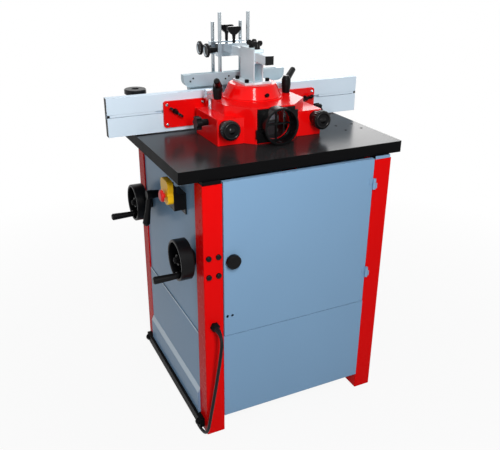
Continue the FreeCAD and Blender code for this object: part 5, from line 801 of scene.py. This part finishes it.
# %% [markdown]
# ### Groove strips of the fence
#
# The groove in the back of each fence plate is open only where the wing knob's bolt needs it. Further out a pale strip
# fills it, so that just a thin dark line shows, and a black stop closes the end. A line painted on the plate would lack
# the step that makes the shadow, so both are bars with broken edges.

# %% Groove strips
STRIP_X, STOP_X, STRIP_Y, STRIP_Z = (0.296, 0.4400), (0.4402, 0.4480), (0.0975, 0.1012), (0.9538, 0.9612)
STRIP_CHAMFER = 0.0003
strip_alloy = material("strip_alloy", anodised, edge=0.0006)


def across_groove(shape, side, reach):
    x = sorted(side * value for value in reach)
    made = bmesh.ops.create_cube(shape, size=1.0)["verts"]
    for vert in made:
        vert.co = [low + (high - low) * (c + 0.5) for (low, high), c in zip((x, STRIP_Y, STRIP_Z), vert.co)]
    edges = list({edge for vert in made for edge in vert.link_edges})
    bmesh.ops.bevel(shape, geom=edges, offset=STRIP_CHAMFER, segments=2, affect="EDGES")


for side, word in SIDES:
    piece("groove_strip_" + word, "fence_plate_" + word, strip_alloy,
          lambda shape: across_groove(shape, side, STRIP_X))
    piece("groove_stop_" + word, "fence_plate_" + word, plastic,
          lambda shape: across_groove(shape, side, STOP_X))

# %% [markdown]
# ### Ends of the folded sheet
#
# Below its fold the lower sheet stands out past the posts. A sheet-metal worker would fold its ends in. The solid has
# to stay as it is, so a small plate closes each end instead, cut to the inside of the fold.

# %% Folded sheet ends
FOLD_INSIDE = ((-0.2994, FOLD_TOP), (-0.3074, FOLD_FOOT), (-0.3074, 0.0466), (-0.2960, 0.0466), (-0.2960, FOLD_TOP))
FOLD_ENDS = ((-0.2374, -0.2360), (0.2398, 0.2412))


def fold_ends(shape):
    for ends in FOLD_ENDS:
        skin(shape, [[shape.verts.new((x, y, z)) for x, z in FOLD_INSIDE] for y in ends])


piece("fold_ends", "machine_frame", paint_blue, fold_ends)

# %% [markdown]
# ### Boot of the lead
#
# Where the lead leaves its gland, a tapered rubber boot with grooves keeps it from kinking. A straight cone would part
# from the lead, which already bends here. So the boot is a tube of rings set along the points read from the curve, and
# it bends exactly as the lead does.

# %% Boot
BOOT_LENGTH, BOOT_RADIUS, BOOT_TIP, BOOT_GROOVES, BOOT_STEPS, BOOT_SIDES = 0.030, 0.0088, 0.0056, 5, 60, 28
GROOVE_DEPTH, BOOT_LIP = 0.0009, 0.0008
PAST_START = 1e-6


def along_lead(distance):
    """Place and direction at a distance along the lead."""
    for low, high in zip(lead_line, lead_line[1:]):
        step = (high - low).length
        if distance <= step:
            return low + (high - low) * (distance / step), (high - low) / step
        distance -= step


def boot(shape):
    loops = []
    for step in range(BOOT_STEPS + 1):
        share = step / BOOT_STEPS
        place, way_on = along_lead(BOOT_LENGTH * share + PAST_START)
        groove = 0.5 - 0.5 * math.cos(2 * math.pi * BOOT_GROOVES * share)
        reach = BOOT_RADIUS + (BOOT_TIP - BOOT_RADIUS) * share - GROOVE_DEPTH * groove * (1 - share)
        if step in (0, BOOT_STEPS):
            reach -= BOOT_LIP
        turn = Vector(TOWARDS_DOOR).rotation_difference(way_on).to_matrix()
        loops.append([shape.verts.new(place + turn @ Vector((reach * math.cos(a), 0, reach * math.sin(a))))
                      for a in (2 * math.pi * side / BOOT_SIDES for side in range(BOOT_SIDES))])
    skin(shape, loops)


piece("lead_boot", "machine_frame", lead_rubber, boot)

# %% [markdown]
# ### Thread of the lift screw
#
# Behind the door the quill hangs on a screw. The solid is its core, and a ridge wound round it makes the thread: four
# points to a step, from root to crest and back to root. A bump in the material would look flat along the screw's
# outline, and that is where a thread is seen.

# %% Thread
LIFT_PITCH, CORE_RADIUS, THREAD_STEPS = 0.005, 0.0090, 24
RIDGE = ((-0.0003, -0.0014), (0.0007, -0.0004), (0.0007, 0.0004), (-0.0003, 0.0014))
FREE_FOOT, FREE_TOP = 0.012, 0.030
screw_low, screw_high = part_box("lift_screw")
screw_axis = Vector(((screw_low[0] + screw_high[0]) / 2, (screw_low[1] + screw_high[1]) / 2, 0))
thread_foot, thread_top = screw_low[2] + FREE_FOOT, screw_high[2] - FREE_TOP


def thread(shape):
    turns = (thread_top - thread_foot) / LIFT_PITCH
    loops = []
    for step in range(round(turns * THREAD_STEPS) + 1):
        angle = 2 * math.pi * step / THREAD_STEPS
        rise = thread_foot + LIFT_PITCH * step / THREAD_STEPS
        around = Vector((math.cos(angle), math.sin(angle), 0))
        loops.append([shape.verts.new(screw_axis + around * (CORE_RADIUS + out) + Vector((0, 0, rise + along)))
                      for out, along in RIDGE])
    skin(shape, loops)


piece("lift_thread", "lift_screw", steel, thread)

# %% [markdown]
# ## Floor
#
# The machine stands on white paper. Stronger lamps would make the paper white, but they would bleach the paint too. So
# the paper is a mid grey for the light that falls on it, and shows white to the camera and to reflections. Near the
# machine a little of the grey stays, which keeps its shadow.

# %% Floor
FLOOR_HALF = 9.0
FLOOR_GREY = (0.5, 0.5, 0.5, 1)
WHITE = (1, 1, 1, 1)
SHADOW_NEAR, SHADOW_FAR, WHITE_NEAR = 0.4, 4.0, 0.92


def shown(start):
    """1 for rays from the camera, from a mirror or through glass, and 0 for rays that carry light."""
    ray = start.node("LightPath", None, None, "Is Camera Ray")
    return (ray + ray.other("Is Glossy Ray") + ray.other("Is Transmission Ray")).fade(0.0, 1.0)


floor_mesh = bpy.data.meshes.new("floor")
corners = [(x * FLOOR_HALF, y * FLOOR_HALF, 0.0) for x, y in ((-1, -1), (1, -1), (1, 1), (-1, 1))]
floor_mesh.from_pydata(corners, [], [(0, 1, 2, 3)])
floor = into_scene("floor", floor_mesh)
floor_finish = bpy.data.materials.new("floor_paper")
floor_finish.use_nodes = True
start = Wire(floor_finish.node_tree)
paper = start.node("BsdfDiffuse", None, {"Color": FLOOR_GREY})
white = start.node("Emission", None, {"Color": WHITE, "Strength": 1.0})
across, along, _ = spread(start.node("TexCoord", None, None, "Object"))
away = (across * across + along * along).fade(SHADOW_NEAR, SHADOW_FAR)
both = start.node("MixShader", None, {0: shown(start) * away.between(WHITE_NEAR, 1.0), 1: paper, 2: white})
start.feed(floor_finish.node_tree.nodes["Material Output"].inputs["Surface"], both)
floor_mesh.materials.append(floor_finish)
print("floor", 2 * FLOOR_HALF, "m wide")

# %% [markdown]
# ## Light
#
# Even light from all round comes from the world, which is white to the camera and dim as a lamp. A tall narrow lamp
# near the camera draws the streak on the hood, a weak one lights the control side, one hangs overhead, and one stands
# behind on the right for the far sides. Area lamps are chosen because they make soft shadows, as a studio's screens do.

# %% World and lamps
WORLD_LIGHT = 0.24
world = bpy.data.worlds.new("studio")
bpy.context.scene.world = world
world.use_nodes = True
start = Wire(world.node_tree)
background = world.node_tree.nodes["Background"]
start.feed(background.inputs["Color"], WHITE)
start.feed(background.inputs["Strength"], shown(start).between(WORLD_LIGHT, 1.0))


def soft_lamp(name, place, target, size, power):
    data = bpy.data.lights.new(name, "AREA")
    data.shape = "RECTANGLE"
    data.size, data.size_y = size
    data.energy = power
    lamp = into_scene(name, data)
    lamp.location = place
    lamp.rotation_mode = "QUATERNION"
    lamp.rotation_quaternion = (Vector(target) - Vector(place)).to_track_quat("-Z", "Y")


soft_lamp("key", place=(-0.5, -1.75, 1.75), target=(0.0, -0.2, 0.7), size=(0.3, 1.0), power=32)
soft_lamp("left", place=(-2.6, -0.4, 1.7), target=(-0.1, 0.0, 0.7), size=(1.4, 1.6), power=1)
soft_lamp("overhead", place=(0.1, 0.5, 3.0), target=(0.0, 0.0, 0.9), size=(1.8, 1.8), power=20)
soft_lamp("back", place=(1.7, 2.5, 1.5), target=(0.0, 0.0, 0.6), size=(1.6, 1.6), power=22)
bpy.context.scene.view_settings.view_transform = "Standard"
